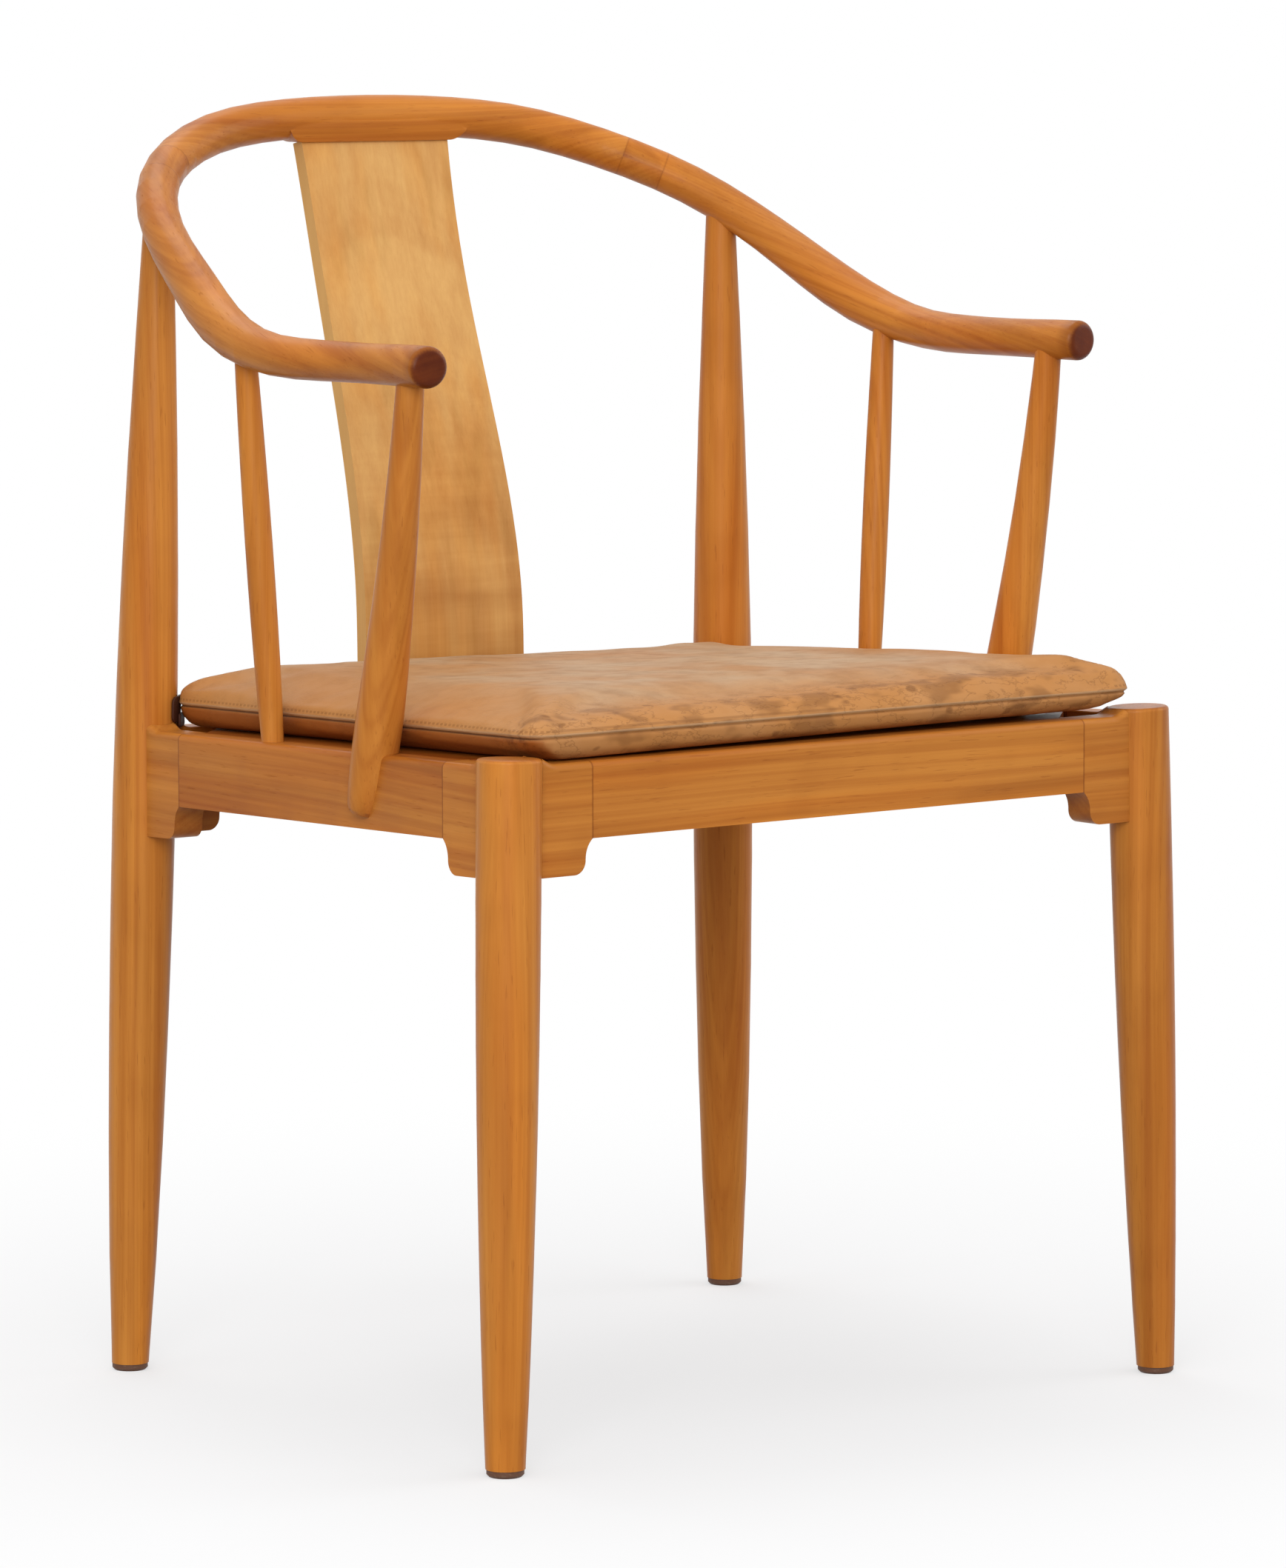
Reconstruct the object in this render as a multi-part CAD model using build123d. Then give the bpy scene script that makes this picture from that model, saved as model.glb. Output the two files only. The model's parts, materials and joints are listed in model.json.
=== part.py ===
from build123d import *
import math
import os

# ---------------------------------------------------------------------------
# Horseshoe back armchair in solid wood, with a loose leather seat cushion.
# Frame: origin on the floor under the middle of the chair, front toward -Y,
# the sitter's left hand toward +X, +Z up.  Millimetres.
# Pieces are modelled on the left (+X) side and mirrored to the right.
# ---------------------------------------------------------------------------

# Horseshoe rail: one bow jointed from a crest and two arms
CREST_HEIGHT = 820.0          # floor to the top of the crest
ARM_HEIGHT = 676.5            # floor to the top of the arm ends
RAIL_HALF_WIDTH = 265.0       # centre plane to the rail's centreline where it is widest
RAIL_BACK_Y = 247.8           # centreline at the middle of the crest
RAIL_TIP_Y = -174.7           # centreline at the arm ends
RAIL_COURSE = [               # half centreline as shares: across, tip to crest, arm to crest height
    (0.000, 1.000, 1.000),
    (0.270, 0.996, 0.984),
    (0.488, 0.976, 0.931),
    (0.662, 0.928, 0.829),
    (0.805, 0.848, 0.687),
    (0.900, 0.741, 0.495),
    (0.948, 0.622, 0.286),
    (0.977, 0.540, 0.152),
    (1.000, 0.401, 0.024),
    (0.984, 0.256, 0.000),
    (0.976, 0.126, 0.000),
    (0.987, 0.000, 0.000),
]
RAIL_GIRTH = [                # share from crest to arm end, width, height; never higher than wide
    (0.00, 27.2, 27.0),
    (0.45, 26.6, 26.4),
    (0.62, 30.4, 30.2),
    (0.76, 28.0, 25.8),
    (0.89, 27.6, 24.6),
    (1.00, 26.6, 26.0),
]
RAIL_SECTIONS = 57            # sections lofted along the whole bow
ARM_END_ROUNDING = 5.0
SCARF_BEFORE_LEG = 75.0       # upper butt line to the back leg's head, along the rail
SCARF_LENGTH = 29.0           # from the upper butt line to the lower one

# Crest neck, the swelling that takes the splat
NECK_DROP = 17.0              # rail centreline to the neck's lower face
NECK_FLARE = 14.0             # hollow radius where the neck runs into the rail
NECK_TOP_THICKNESS = 26.0     # where it leaves the rail
NECK_CHEEK_THICKNESS = 23.5   # fullest part under the rail
NECK_CHEEK_RISE = 6.0         # of the fullest part above the neck's lower face
NECK_LIP = 2.2                # neck proud of the splat's faces

# Splat: a thin shaped board between the seat and the crest
SPLAT_THICKNESS = 10.0
SPLAT_TOP_WIDTH = 120.0
SPLAT_THROAT_WIDTH = 116.5    # narrowest, a little below the crest
SPLAT_THROAT_DROP = 50.0
SPLAT_WAIST_WIDTH = 121.5
SPLAT_SEAT_WIDTH = 129.0
SPLAT_BEHIND_LEGS = 1.7       # middle of the board at the seat, behind the back legs' axes
SPLAT_TOP_LEAN = 12.0         # degrees from upright where it enters the crest
SPLAT_COURSE = [(0.22, 0.031), (0.66, 0.572)]   # side view as shares: height, lean
SPLAT_TONGUE = 9.0
SPLAT_TONGUE_THICKNESS = 5.0
SPLAT_TONGUE_SHOULDER = 9.0

# Front legs: turned and splayed, standing a little above the seat rails
FRONT_FOOT_X = 263.7
FRONT_FOOT_Y = -247.0
FRONT_SEAT_X = 252.4          # leg axis at seat height
FRONT_SEAT_Y = -238.7
FRONT_LEG_RISE = 4.5          # leg top above the seat rail
FRONT_LEG_PROFILE = [         # share of the height, diameter
    (0.00, 24.0), (0.15, 29.3), (0.31, 33.4), (0.51, 37.2), (0.80, 39.6), (1.00, 40.0),
]
LEG_TOP_ROUNDING = 2.5
TURNED_STEPS = 10             # sections lofted along a turned piece

# Back legs: one length from the floor to the horseshoe rail
BACK_FOOT_X = 247.8
BACK_FOOT_Y = 177.2
BACK_LEG_TOP_Y = 158.3        # where the axis meets the rail's centreline
BACK_LEG_PROFILE = [
    (0.00, 23.5), (0.095, 30.2), (0.225, 36.0), (0.40, 40.0), (0.53, 40.6),
    (0.64, 38.2), (0.78, 32.6), (0.89, 26.2), (1.00, 19.0),
]

# Round tenons of legs, posts and spindles in the horseshoe rail
LEG_PEG_DIAMETER = 13.0
ARM_PEG_DIAMETER = 8.0
PEG_RISE = 5.0                # beyond the rail's centreline
PEG_ROOT = 24.0               # start of the peg inside the piece, before the centreline
SPINDLE_PEG_DEPTH = 20.0      # spindle into the seat rail

# Seat frame
SEAT_HEIGHT = 428.0           # top of the front seat rail
SEAT_FALL = 10.2              # how much lower the back seat rail is
SEAT_RAIL_HEIGHT = 46.5
SEAT_RAIL_THICKNESS = 21.0
OUTER_EDGE_ROUNDING = 4.0
INNER_EDGE_ROUNDING = 1.5
BRACKET_REACH = 55.0          # leg axis to the upright joint between bracket and rail
BRACKET_FOOT = 49.5           # leg axis to the bracket's lowest upright edge
BRACKET_DROP = 21.5           # bracket below the seat rail
BRACKET_ROUNDING = 8.5
SWEEP_START = 29.0            # leg axis to where the bracket's top edge starts to rise
SWEEP_RISE = 3.2
LEG_TENON_THICKNESS = 9.0
LEG_TENON_DEPTH = 14.0        # into the leg from its surface
LEG_TENON_MARGIN = 8.0        # below the rail's top and above its underside
RAIL_TONGUE_LENGTH = 12.0
RAIL_TONGUE_THICKNESS = 8.0
RAIL_TONGUE_MARGIN = 12.0
COPE_CLEARANCE = 0.12         # round surfaces that meet

# Seat panel, corner blocks and screws
PANEL_THICKNESS = 8.0
PANEL_REBATE = 5.0            # how far the panel sits into the rails
PANEL_SETBACK = 7.0           # bracket joint to the panel's cut-back corner
PANEL_GAP = 0.3
BLOCK_START = 26.0            # inner frame corner to the near end of the block
BLOCK_END = 74.0
BLOCK_SHOULDER = 12.0         # block's thickness at its far end
BLOCK_HEIGHT = 26.0
SCREW_DIAMETER = 4.0
SCREW_HEAD_DIAMETER = 8.0
SCREW_HEAD_HEIGHT = 2.4
SCREW_POCKET_DIAMETER = 9.0
BLOCK_SCREW_AT = 58.0         # inner frame corner to the block's screws
BLOCK_SCREW_SEAT = 16.0       # wood left under the screw's head
BLOCK_SCREW_LENGTH = 28.0
PANEL_SCREW_AT = 33.0
PANEL_SCREW_LENGTH = 28.0
POST_SCREW_LENGTH = 20.0
POST_SCREW_HEIGHTS = (15.0, 28.0)    # below the seat rail's top edge

# Arm posts
POST_FOOT_Y = -94.7
POST_TOP_Y = -147.7
POST_FOOT_HEIGHT = 388.0
POST_BOW = 6.0                # forward of a straight line, half way up
POST_STAND_OUT = 6.0          # foot axis outside the seat rail's middle plane
POST_TOP_INSET = 3.0          # top axis inside the rail's centreline
POST_HOUSING = 9.0            # depth of the post's foot in the seat rail
POST_SHOULDER_GAP = 0.2       # the notched post's shoulder above the seat rail's top
POST_PROFILE = [
    (0.00, 21.0), (0.012, 24.6), (0.04, 26.6), (0.09, 28.2), (0.15, 29.2), (0.23, 29.4),
    (0.33, 28.0), (0.47, 25.4), (0.62, 22.8), (0.77, 20.4), (0.91, 18.0), (1.00, 16.4),
]

# Arm spindles
SPINDLE_FOOT_Y = 18.3
SPINDLE_TOP_Y = 22.0
SPINDLE_TOP_INSET = 4.0
SPINDLE_PROFILE = [(0.00, 14.2), (0.25, 16.8), (0.55, 17.2), (1.00, 13.6)]

# Foot glides
GLIDE_THICKNESS = 4.5
GLIDE_DIAMETER = 23.0
GLIDE_EDGE = 1.5
NAIL_DIAMETER = 3.0
NAIL_HEAD_DIAMETER = 7.0
NAIL_HEAD_HEIGHT = 1.5
NAIL_RECESS = 1.0             # nail head above the floor
NAIL_LENGTH = 20.0

# Cushion, its front corners over the tops of the front legs
CUSHION_THICKNESS = 36.0
CUSHION_SEAM_HEIGHT = 14.0
CUSHION_SHOULDER_HEIGHT = 28.0
CUSHION_FRONT_Y = -248.7
CUSHION_BACK_GAP = 4.0        # to the splat's front face
CUSHION_FRONT_HALF_WIDTH = 240.0
CUSHION_BACK_HALF_WIDTH = 227.0
CUSHION_FRONT_CORNER = 7.0    # cut off the front corners
CUSHION_BACK_CORNER = 16.0    # cut off the back corners, to clear the back legs
CUSHION_CORNER_ROUNDING = 10.0
CUSHION_UNDERCUT = 16.0       # underside inside the seam
CUSHION_SHOULDER = 5.0        # shoulder inside the seam
CUSHION_CROWN = 26.0          # nearly flat top inside the seam
SOFT_GAP = 0.3

# Cushion ties: a leather patch nailed to each back leg, with a tongue toward the cushion
TIE_THICKNESS = 1.8
TIE_PATCH_WIDTH = 21.0
TIE_PATCH_HEIGHT = 17.0
TIE_ABOVE_RAIL = 4.5          # patch above the seat rails' top
TIE_TONGUE_HEIGHT = 6.0
TIE_TONGUE_RISE = 10.0        # middle of the tongue above the patch's lower edge
TIE_TONGUE_REACH = 30.0       # before it is trimmed beside the cushion
TIE_GAP = 0.05
TIE_NAIL_RISE = 4.0           # above the patch's lower edge
TIE_NAIL_DIAMETER = 2.2
TIE_NAIL_HEAD_DIAMETER = 5.0
TIE_NAIL_HEAD_HEIGHT = 1.2
TIE_NAIL_LENGTH = 13.0

REACH_ALL = 2000.0            # size of cutting blocks, larger than the chair


# ---------------------------------------------------------------------------
# Shapes used more than once
# ---------------------------------------------------------------------------
def turned(start, end, profile):
    """Round member between two points; the profile gives (share of length, diameter)."""
    start, end = Vector(*start), Vector(*end)
    heading, length = (end - start).normalized(), (end - start).length
    outline = Spline(*[Vector(share * length, diameter / 2) for share, diameter in profile])
    sections = []
    for step in range(TURNED_STEPS + 1):
        at = outline @ (step / TURNED_STEPS)
        sections.append(Plane(origin=start + heading * at.X, z_dir=heading) * Circle(at.Y))
    return loft(sections, ruled=True)


def rod(start, direction, diameter, length):
    """Plain cylinder from a point along a direction."""
    body = Cylinder(diameter / 2, length, align=(Align.CENTER, Align.CENTER, Align.MIN))
    return Plane(origin=Vector(*start), z_dir=Vector(*direction)) * body


def countersunk(start, direction, diameter, length, head_diameter, head_height):
    """Fastener with a conical head: the head's face at the start, the shank along the direction."""
    shank = Cylinder(diameter / 2, length, align=(Align.CENTER, Align.CENTER, Align.MIN))
    head = Cone(
        head_diameter / 2, diameter / 2, head_height,
        align=(Align.CENTER, Align.CENTER, Align.MIN),
    )
    return Plane(origin=Vector(*start), z_dir=Vector(*direction)) * (shank + head)


def wood_screw(start, direction, length):
    return countersunk(start, direction, SCREW_DIAMETER, length, SCREW_HEAD_DIAMETER, SCREW_HEAD_HEIGHT)


def mirrored(shape):
    """The same shape on the right side of the chair."""
    return mirror(shape, about=Plane.YZ)


def at_height(start, end, height):
    """Point of the line from start to end at a given height."""
    share = (height - start[2]) / (end[2] - start[2])
    return tuple(a + share * (b - a) for a, b in zip(start, end))


def blend(rows, share):
    """Values of the rows (share, value, ...) at a share, eased smoothly from row to row."""
    for lower, upper in zip(rows, rows[1:]):
        if share <= upper[0]:
            step = (share - lower[0]) / (upper[0] - lower[0])
            eased = step * step * (3 - 2 * step)
            return [a + eased * (b - a) for a, b in zip(lower[1:], upper[1:])]
    return list(rows[-1][1:])


# ---------------------------------------------------------------------------
# Horseshoe rail centreline
# ---------------------------------------------------------------------------
CREST_Z = CREST_HEIGHT - RAIL_GIRTH[0][2] / 2
ARM_Z = ARM_HEIGHT - RAIL_GIRTH[-1][2] / 2
NECK_FACE_Z = CREST_Z - NECK_DROP


def course_point(row, side):
    """Centreline point of one course row, on the left (+1) or right (-1)."""
    across, depth, rise = row
    return (
        side * across * RAIL_HALF_WIDTH,
        RAIL_TIP_Y + depth * (RAIL_BACK_Y - RAIL_TIP_Y),
        ARM_Z + rise * (CREST_Z - ARM_Z),
    )


right_points = [course_point(row, -1) for row in reversed(RAIL_COURSE[1:])]
left_points = [course_point(row, 1) for row in RAIL_COURSE]
rail_curve = Spline(*right_points, *left_points)


def rail_frame(share):
    """Plane across the rail at a share of its whole length, its own X level and its Y upward."""
    tangent = rail_curve % share
    level = Vector(0, 0, 1).cross(tangent).normalized()
    return Plane(origin=rail_curve @ share, x_dir=level, z_dir=tangent)


def rail_share(y):
    """Share of the whole rail's length where its left half reaches a given depth."""
    near_crest, near_tip = 0.5, 1.0
    for _ in range(40):
        middle = (near_crest + near_tip) / 2
        if (rail_curve @ middle).Y > y:
            near_crest = middle
        else:
            near_tip = middle
    return near_crest


def rail_at_y(y):
    """Centreline point of the left half at a given depth."""
    return rail_curve @ rail_share(y)


def make_bow():
    """The whole bow, before it is jointed, with softened arm ends."""
    sections = []
    for index in range(RAIL_SECTIONS):
        share = index / (RAIL_SECTIONS - 1)
        width, height = blend(RAIL_GIRTH, abs(2 * share - 1))
        sections.append(rail_frame(share) * Ellipse(width / 2, height / 2))
    bow = loft(sections, ruled=True)
    rims = [edge for edge in bow.edges() if abs(edge.center().Y - RAIL_TIP_Y) < 2]
    return fillet(rims, ARM_END_ROUNDING)


def arm_side():
    """Block that holds the left arm: all beyond the lower butt line, and the upper half of the lap."""
    here = rail_frame(rail_share(BACK_LEG_TOP_Y) - SCARF_BEFORE_LEG / rail_curve.length)
    beyond = Pos(0, 0, SCARF_LENGTH) * Box(
        REACH_ALL, REACH_ALL, REACH_ALL, align=(Align.CENTER, Align.CENTER, Align.MIN)
    )
    upper_lap = Box(
        REACH_ALL, REACH_ALL, 2 * SCARF_LENGTH, align=(Align.CENTER, Align.MIN, Align.MIN)
    )
    left_half = Pos(REACH_ALL / 2, 0, 0) * Box(REACH_ALL, REACH_ALL, REACH_ALL)
    return (here * (beyond + upper_lap)) & left_half


# ---------------------------------------------------------------------------
# Leg axes, seat plane and seat runs
# ---------------------------------------------------------------------------
class SeatRun:
    """Upright plane from one leg axis to the next, carrying the seat's top edge."""

    def __init__(self, start, end, outer=1):
        """Start and end are leg-axis points on the top edge; outer is +1 if the plane faces outward."""
        self.ends = (start, end)
        self.outer = outer
        level = Vector(end[0] - start[0], end[1] - start[1], 0)
        self.length = level.length
        self.along = level.normalized()
        self.fall = (start[2] - end[2]) / self.length
        self.plane = Plane(
            origin=(start[0], start[1], 0), x_dir=self.along, z_dir=self.along.cross(Vector(0, 0, 1))
        )

    def top(self, distance):
        return self.ends[0][2] - self.fall * distance

    def point(self, distance, below):
        """Outline point: distance from the start along the run, depth below the top edge."""
        return (distance, self.top(distance) - below)

    def board(self, outline, thickness):
        return extrude(self.plane * make_face(outline), thickness / 2, both=True)

    def bar(self, near, far, upper, lower, thickness):
        """Board with upright ends and edges parallel to the seat."""
        outline = Polyline(
            self.point(near, upper), self.point(far, upper), self.point(far, lower), self.point(near, lower),
            close=True,
        )
        return self.board(outline, thickness)

    def backward(self):
        return SeatRun(self.ends[1], self.ends[0], -self.outer)

    def top_edges(self, body, outer_face):
        """Upper edges of a piece on its outer or inner face."""
        face_at = SEAT_RAIL_THICKNESS / 2 * self.outer * (1 if outer_face else -1)
        chosen = []
        for edge in body.edges():
            local = self.plane.to_local_coords(edge.center())
            if abs(local.Z - face_at) < 0.01 and local.Y > self.top(local.X) - 0.5:
                chosen.append(edge)
        return chosen


back_top = rail_at_y(BACK_LEG_TOP_Y)
back_foot = (BACK_FOOT_X, BACK_FOOT_Y, 0.0)
back_head = (back_top.X, back_top.Y, back_top.Z)
back_seat = at_height(back_foot, back_head, SEAT_HEIGHT - SEAT_FALL)
front_foot = (FRONT_FOOT_X, FRONT_FOOT_Y, 0.0)
front_seat = (FRONT_SEAT_X, FRONT_SEAT_Y, SEAT_HEIGHT)
front_head = at_height(front_foot, front_seat, SEAT_HEIGHT + FRONT_LEG_RISE)
SEAT_SLOPE = SEAT_FALL / (back_seat[1] - FRONT_SEAT_Y)
SEAT_STRETCH = math.hypot(1.0, SEAT_SLOPE)
SPLAT_SEAT_Y = back_seat[1] + SPLAT_BEHIND_LEGS
PANEL_CORNER = BRACKET_REACH + PANEL_SETBACK

side_run = SeatRun(front_seat, back_seat)
front_run = SeatRun(front_seat, (-front_seat[0], front_seat[1], front_seat[2]), -1)
back_run = SeatRun(back_seat, (-back_seat[0], back_seat[1], back_seat[2]))


def seat_top(y):
    """Height of the seat rails' top edge at a given depth."""
    return SEAT_HEIGHT - SEAT_SLOPE * (y - FRONT_SEAT_Y)


def seat_plane(above):
    """Plane parallel to the seat's top, drawn on with seat_xy points."""
    normal = Vector(0, SEAT_SLOPE, 1).normalized()
    origin = Vector(0, FRONT_SEAT_Y, SEAT_HEIGHT) + normal * above
    return Plane(origin=origin, x_dir=(1, 0, 0), z_dir=normal)


def seat_xy(x, y):
    """Plan point as drawn on the seat plane."""
    return (x, (y - FRONT_SEAT_Y) * SEAT_STRETCH)


def side_axis_x(y):
    """Middle plane of the left side rail at a given depth."""
    share = (y - front_seat[1]) / (back_seat[1] - front_seat[1])
    return front_seat[0] + share * (back_seat[0] - front_seat[0])


def frame_corner(axis_point, along_a, along_b, inset):
    """Plan point inside a leg axis, the inset away from the middle planes of both runs."""
    opening = abs(along_a.cross(along_b).Z)
    return Vector(axis_point[0], axis_point[1], 0) + (along_a + along_b) * (inset / opening)


def seat_corners():
    """Left front and left back corners: leg axis, and the two runs that leave it."""
    return [
        (front_seat, front_run, side_run),
        (back_seat, side_run.backward(), back_run),
    ]


# ---------------------------------------------------------------------------
# Splat and the crest's neck
# ---------------------------------------------------------------------------
def splat_course():
    """Side view of the splat's middle between seat and neck, drawn on with straight tongues."""
    lean = math.radians(SPLAT_TOP_LEAN)
    foot = (SPLAT_SEAT_Y, seat_top(SPLAT_SEAT_Y))
    head = (RAIL_BACK_Y - NECK_DROP * math.tan(lean), NECK_FACE_Z)
    run_y, run_z = head[0] - foot[0], head[1] - foot[1]
    between = [(foot[0] + along * run_y, foot[1] + up * run_z) for up, along in SPLAT_COURSE]
    bend = Spline(foot, *between, head, tangents=[(0, 1), (math.sin(lean), math.cos(lean))])
    foot_tongue = Line((foot[0], foot[1] - SPLAT_TONGUE), foot)
    head_tongue = Line(head, Vector(*head) + Vector(math.sin(lean), math.cos(lean)) * SPLAT_TONGUE)
    return foot_tongue, bend, head_tongue


def side_band(course, thickness, width):
    """Board of even thickness along a side-view line, extruded across the chair."""
    shares = [0.0, 1.0] if course.geom_type == GeomType.LINE else [step / 10 for step in range(11)]
    front, back = [], []
    for share in shares:
        point, heading = course @ share, course % share
        normal = Vector(-heading.Y, heading.X)
        front.append(point + normal * (thickness / 2))
        back.append(point - normal * (thickness / 2))
    front_line = Line(*front) if len(front) == 2 else Spline(*front)
    back_line = Line(*back) if len(back) == 2 else Spline(*back)
    outline = Curve() + [front_line, Line(front[-1], back[-1]), back_line, Line(back[0], front[0])]
    return extrude(Plane.YZ * make_face(outline), width / 2, both=True)


def make_splat():
    """Shaped board, narrowing upward, with a thin shouldered tongue at each end."""
    foot_tongue, bend, head_tongue = splat_course()
    low, high = (bend @ 0).Y, (bend @ 1).Y
    edge = Spline(
        (SPLAT_SEAT_WIDTH / 2, low - 1), (SPLAT_WAIST_WIDTH / 2, (low + high) / 2),
        (SPLAT_THROAT_WIDTH / 2, high - SPLAT_THROAT_DROP), (SPLAT_TOP_WIDTH / 2, high + 2),
    )
    other = mirror(edge, about=Plane.YZ)
    outline = Curve() + [edge, other, Line(edge @ 0, other @ 0), Line(edge @ 1, other @ 1)]
    front_view = extrude(Plane.XZ * make_face(outline), REACH_ALL / 2, both=True)
    board = side_band(bend, SPLAT_THICKNESS, 2 * SPLAT_SEAT_WIDTH) & front_view
    foot = side_band(foot_tongue, SPLAT_TONGUE_THICKNESS, SPLAT_SEAT_WIDTH - 2 * SPLAT_TONGUE_SHOULDER)
    head = side_band(head_tongue, SPLAT_TONGUE_THICKNESS, SPLAT_TOP_WIDTH - 2 * SPLAT_TONGUE_SHOULDER)
    return board + foot + head


def make_neck():
    """Swelling under the crest: hollow flares into the rail, tapering down to the splat."""
    lean = math.radians(SPLAT_TOP_LEAN)
    half = SPLAT_TOP_WIDTH / 2
    wide = half + NECK_FLARE
    flare_top = NECK_FACE_Z + NECK_FLARE
    flare = RadiusArc((half, NECK_FACE_Z), (wide, flare_top), -NECK_FLARE)
    other = mirror(flare, about=Plane.YZ)
    outline = Curve() + [flare, other, Line(flare @ 0, other @ 0), Line(flare @ 1, other @ 1)]
    front_view = extrude(Plane.XZ * make_face(outline), REACH_ALL / 2, both=True)
    rows = [
        (NECK_DROP, SPLAT_THICKNESS / math.cos(lean) + 2 * NECK_LIP),
        (NECK_DROP - NECK_CHEEK_RISE, NECK_CHEEK_THICKNESS),
        (NECK_DROP - NECK_FLARE, NECK_TOP_THICKNESS),
    ]
    middles = [RAIL_BACK_Y - drop * math.tan(lean) for drop, _ in rows]
    front = [(y - thick / 2, CREST_Z - drop) for y, (drop, thick) in zip(middles, rows)]
    back = [(y + thick / 2, CREST_Z - drop) for y, (drop, thick) in zip(middles, rows)]
    side_view = Polyline(*front, *reversed(back), close=True)
    return front_view & extrude(Plane.YZ * make_face(side_view), wide, both=True)


# ---------------------------------------------------------------------------
# Seat rails and brackets
# ---------------------------------------------------------------------------
def seat_rail(run):
    """Seat rail between its two brackets, with a tongue at each end."""
    near, far = BRACKET_REACH, run.length - BRACKET_REACH
    body = run.bar(near, far, 0, SEAT_RAIL_HEIGHT, SEAT_RAIL_THICKNESS)
    body = fillet(run.top_edges(body, True), OUTER_EDGE_ROUNDING)
    tongues = run.bar(
        near - RAIL_TONGUE_LENGTH, far + RAIL_TONGUE_LENGTH,
        RAIL_TONGUE_MARGIN, SEAT_RAIL_HEIGHT - RAIL_TONGUE_MARGIN, RAIL_TONGUE_THICKNESS,
    )
    return body + tongues


def bracket_board(run, leg_radius):
    """Bracket before it is fitted: its top swept up to the leg, its foot dropped and rounded."""
    low = SEAT_RAIL_HEIGHT + BRACKET_DROP
    sweep = Spline(
        run.point(0, -SWEEP_RISE * 2.2), run.point(leg_radius, -SWEEP_RISE), run.point(SWEEP_START, 0),
        tangents=[(1.0, -0.15), (1.0, -run.fall)],
    )
    top = Line(run.point(SWEEP_START, 0), run.point(BRACKET_REACH, 0))
    joint = Line(run.point(BRACKET_REACH, 0), run.point(BRACKET_REACH, SEAT_RAIL_HEIGHT))
    hollow = Spline(
        run.point(BRACKET_REACH, SEAT_RAIL_HEIGHT), run.point(BRACKET_FOOT, low - BRACKET_ROUNDING),
        tangents=[(-1.0, -0.9), (0.0, -1.0)],
    )
    corner = JernArc(start=hollow @ 1, tangent=(0, -1), radius=BRACKET_ROUNDING, arc_size=-90)
    foot = Line(corner @ 1, run.point(0, low))
    inner = Line(run.point(0, low), sweep @ 0)
    board = run.board(Curve() + [sweep, top, joint, hollow, corner, foot, inner], SEAT_RAIL_THICKNESS)
    board = fillet(run.top_edges(board, True), OUTER_EDGE_ROUNDING)
    return fillet(run.top_edges(board, False), INNER_EDGE_ROUNDING)


def leg_tenon(run, leg_radius):
    """Tenon that runs from a bracket into its leg."""
    return run.bar(
        leg_radius - LEG_TENON_DEPTH, leg_radius + 5,
        LEG_TENON_MARGIN, SEAT_RAIL_HEIGHT - LEG_TENON_MARGIN, LEG_TENON_THICKNESS,
    )


# ---------------------------------------------------------------------------
# Seat panel, corner blocks and their screws
# ---------------------------------------------------------------------------
def panel_board(gap, thickness_above):
    """Seat panel drawn on the seat plane; the gap and the added height make its rebate's cutter."""
    inset = SEAT_RAIL_THICKNESS / 2 - PANEL_REBATE - gap
    pairs = []
    for axis_point, run_a, run_b in seat_corners():
        corner = frame_corner(axis_point, run_a.along, run_b.along, inset)
        reach = PANEL_CORNER - inset - gap
        pairs.append((corner + run_a.along * reach, corner + run_b.along * reach))
    (front_cross, front_side), (back_side, back_cross) = pairs
    half = [front_cross, front_side, back_side, back_cross]
    points = [seat_xy(p.X, p.Y) for p in half] + [seat_xy(-p.X, p.Y) for p in reversed(half)]
    outline = make_face(Polyline(*points, close=True))
    return extrude(seat_plane(-PANEL_THICKNESS) * outline, PANEL_THICKNESS + thickness_above)


def corner_block(axis_point, run_a, run_b):
    """Glue block in a frame corner, under the seat panel."""
    corner = frame_corner(axis_point, run_a.along, run_b.along, SEAT_RAIL_THICKNESS / 2)
    a, b = run_a.along, run_b.along
    plan = [
        corner + a * BLOCK_START, corner + a * BLOCK_END, corner + a * BLOCK_END + b * BLOCK_SHOULDER,
        corner + a * BLOCK_SHOULDER + b * BLOCK_END, corner + b * BLOCK_END, corner + b * BLOCK_START,
    ]
    column = extrude(make_face(Polyline(*plan, close=True)), SEAT_HEIGHT, dir=(0, 0, 1))
    layer = Box(REACH_ALL, REACH_ALL, BLOCK_HEIGHT, align=(Align.CENTER, Align.CENTER, Align.MAX))
    return column & (seat_plane(-PANEL_THICKNESS) * layer)


def block_fastenings(axis_point, run_a, run_b):
    """Two screws of a corner block with their pockets, and the panel's screw above it."""
    corner = frame_corner(axis_point, run_a.along, run_b.along, SEAT_RAIL_THICKNESS / 2)
    screws, pockets = [], []
    for along, other in ((run_a.along, run_b.along), (run_b.along, run_a.along)):
        square = (other - along * other.dot(along)).normalized()
        seat = corner + along * BLOCK_SCREW_AT + square * BLOCK_SCREW_SEAT
        height = seat_top(seat.Y) - PANEL_THICKNESS - BLOCK_HEIGHT / 2
        seat = Vector(seat.X, seat.Y, height)
        screws.append(wood_screw(seat, square * -1, BLOCK_SCREW_LENGTH))
        pockets.append(rod(seat, square, SCREW_POCKET_DIAMETER, BLOCK_END))
    spot = corner + (run_a.along + run_b.along) * PANEL_SCREW_AT
    plane = seat_plane(0)
    start = plane.from_local_coords(Vector(*seat_xy(spot.X, spot.Y), 0))
    return screws, pockets, wood_screw(start, plane.z_dir * -1, PANEL_SCREW_LENGTH)


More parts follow.
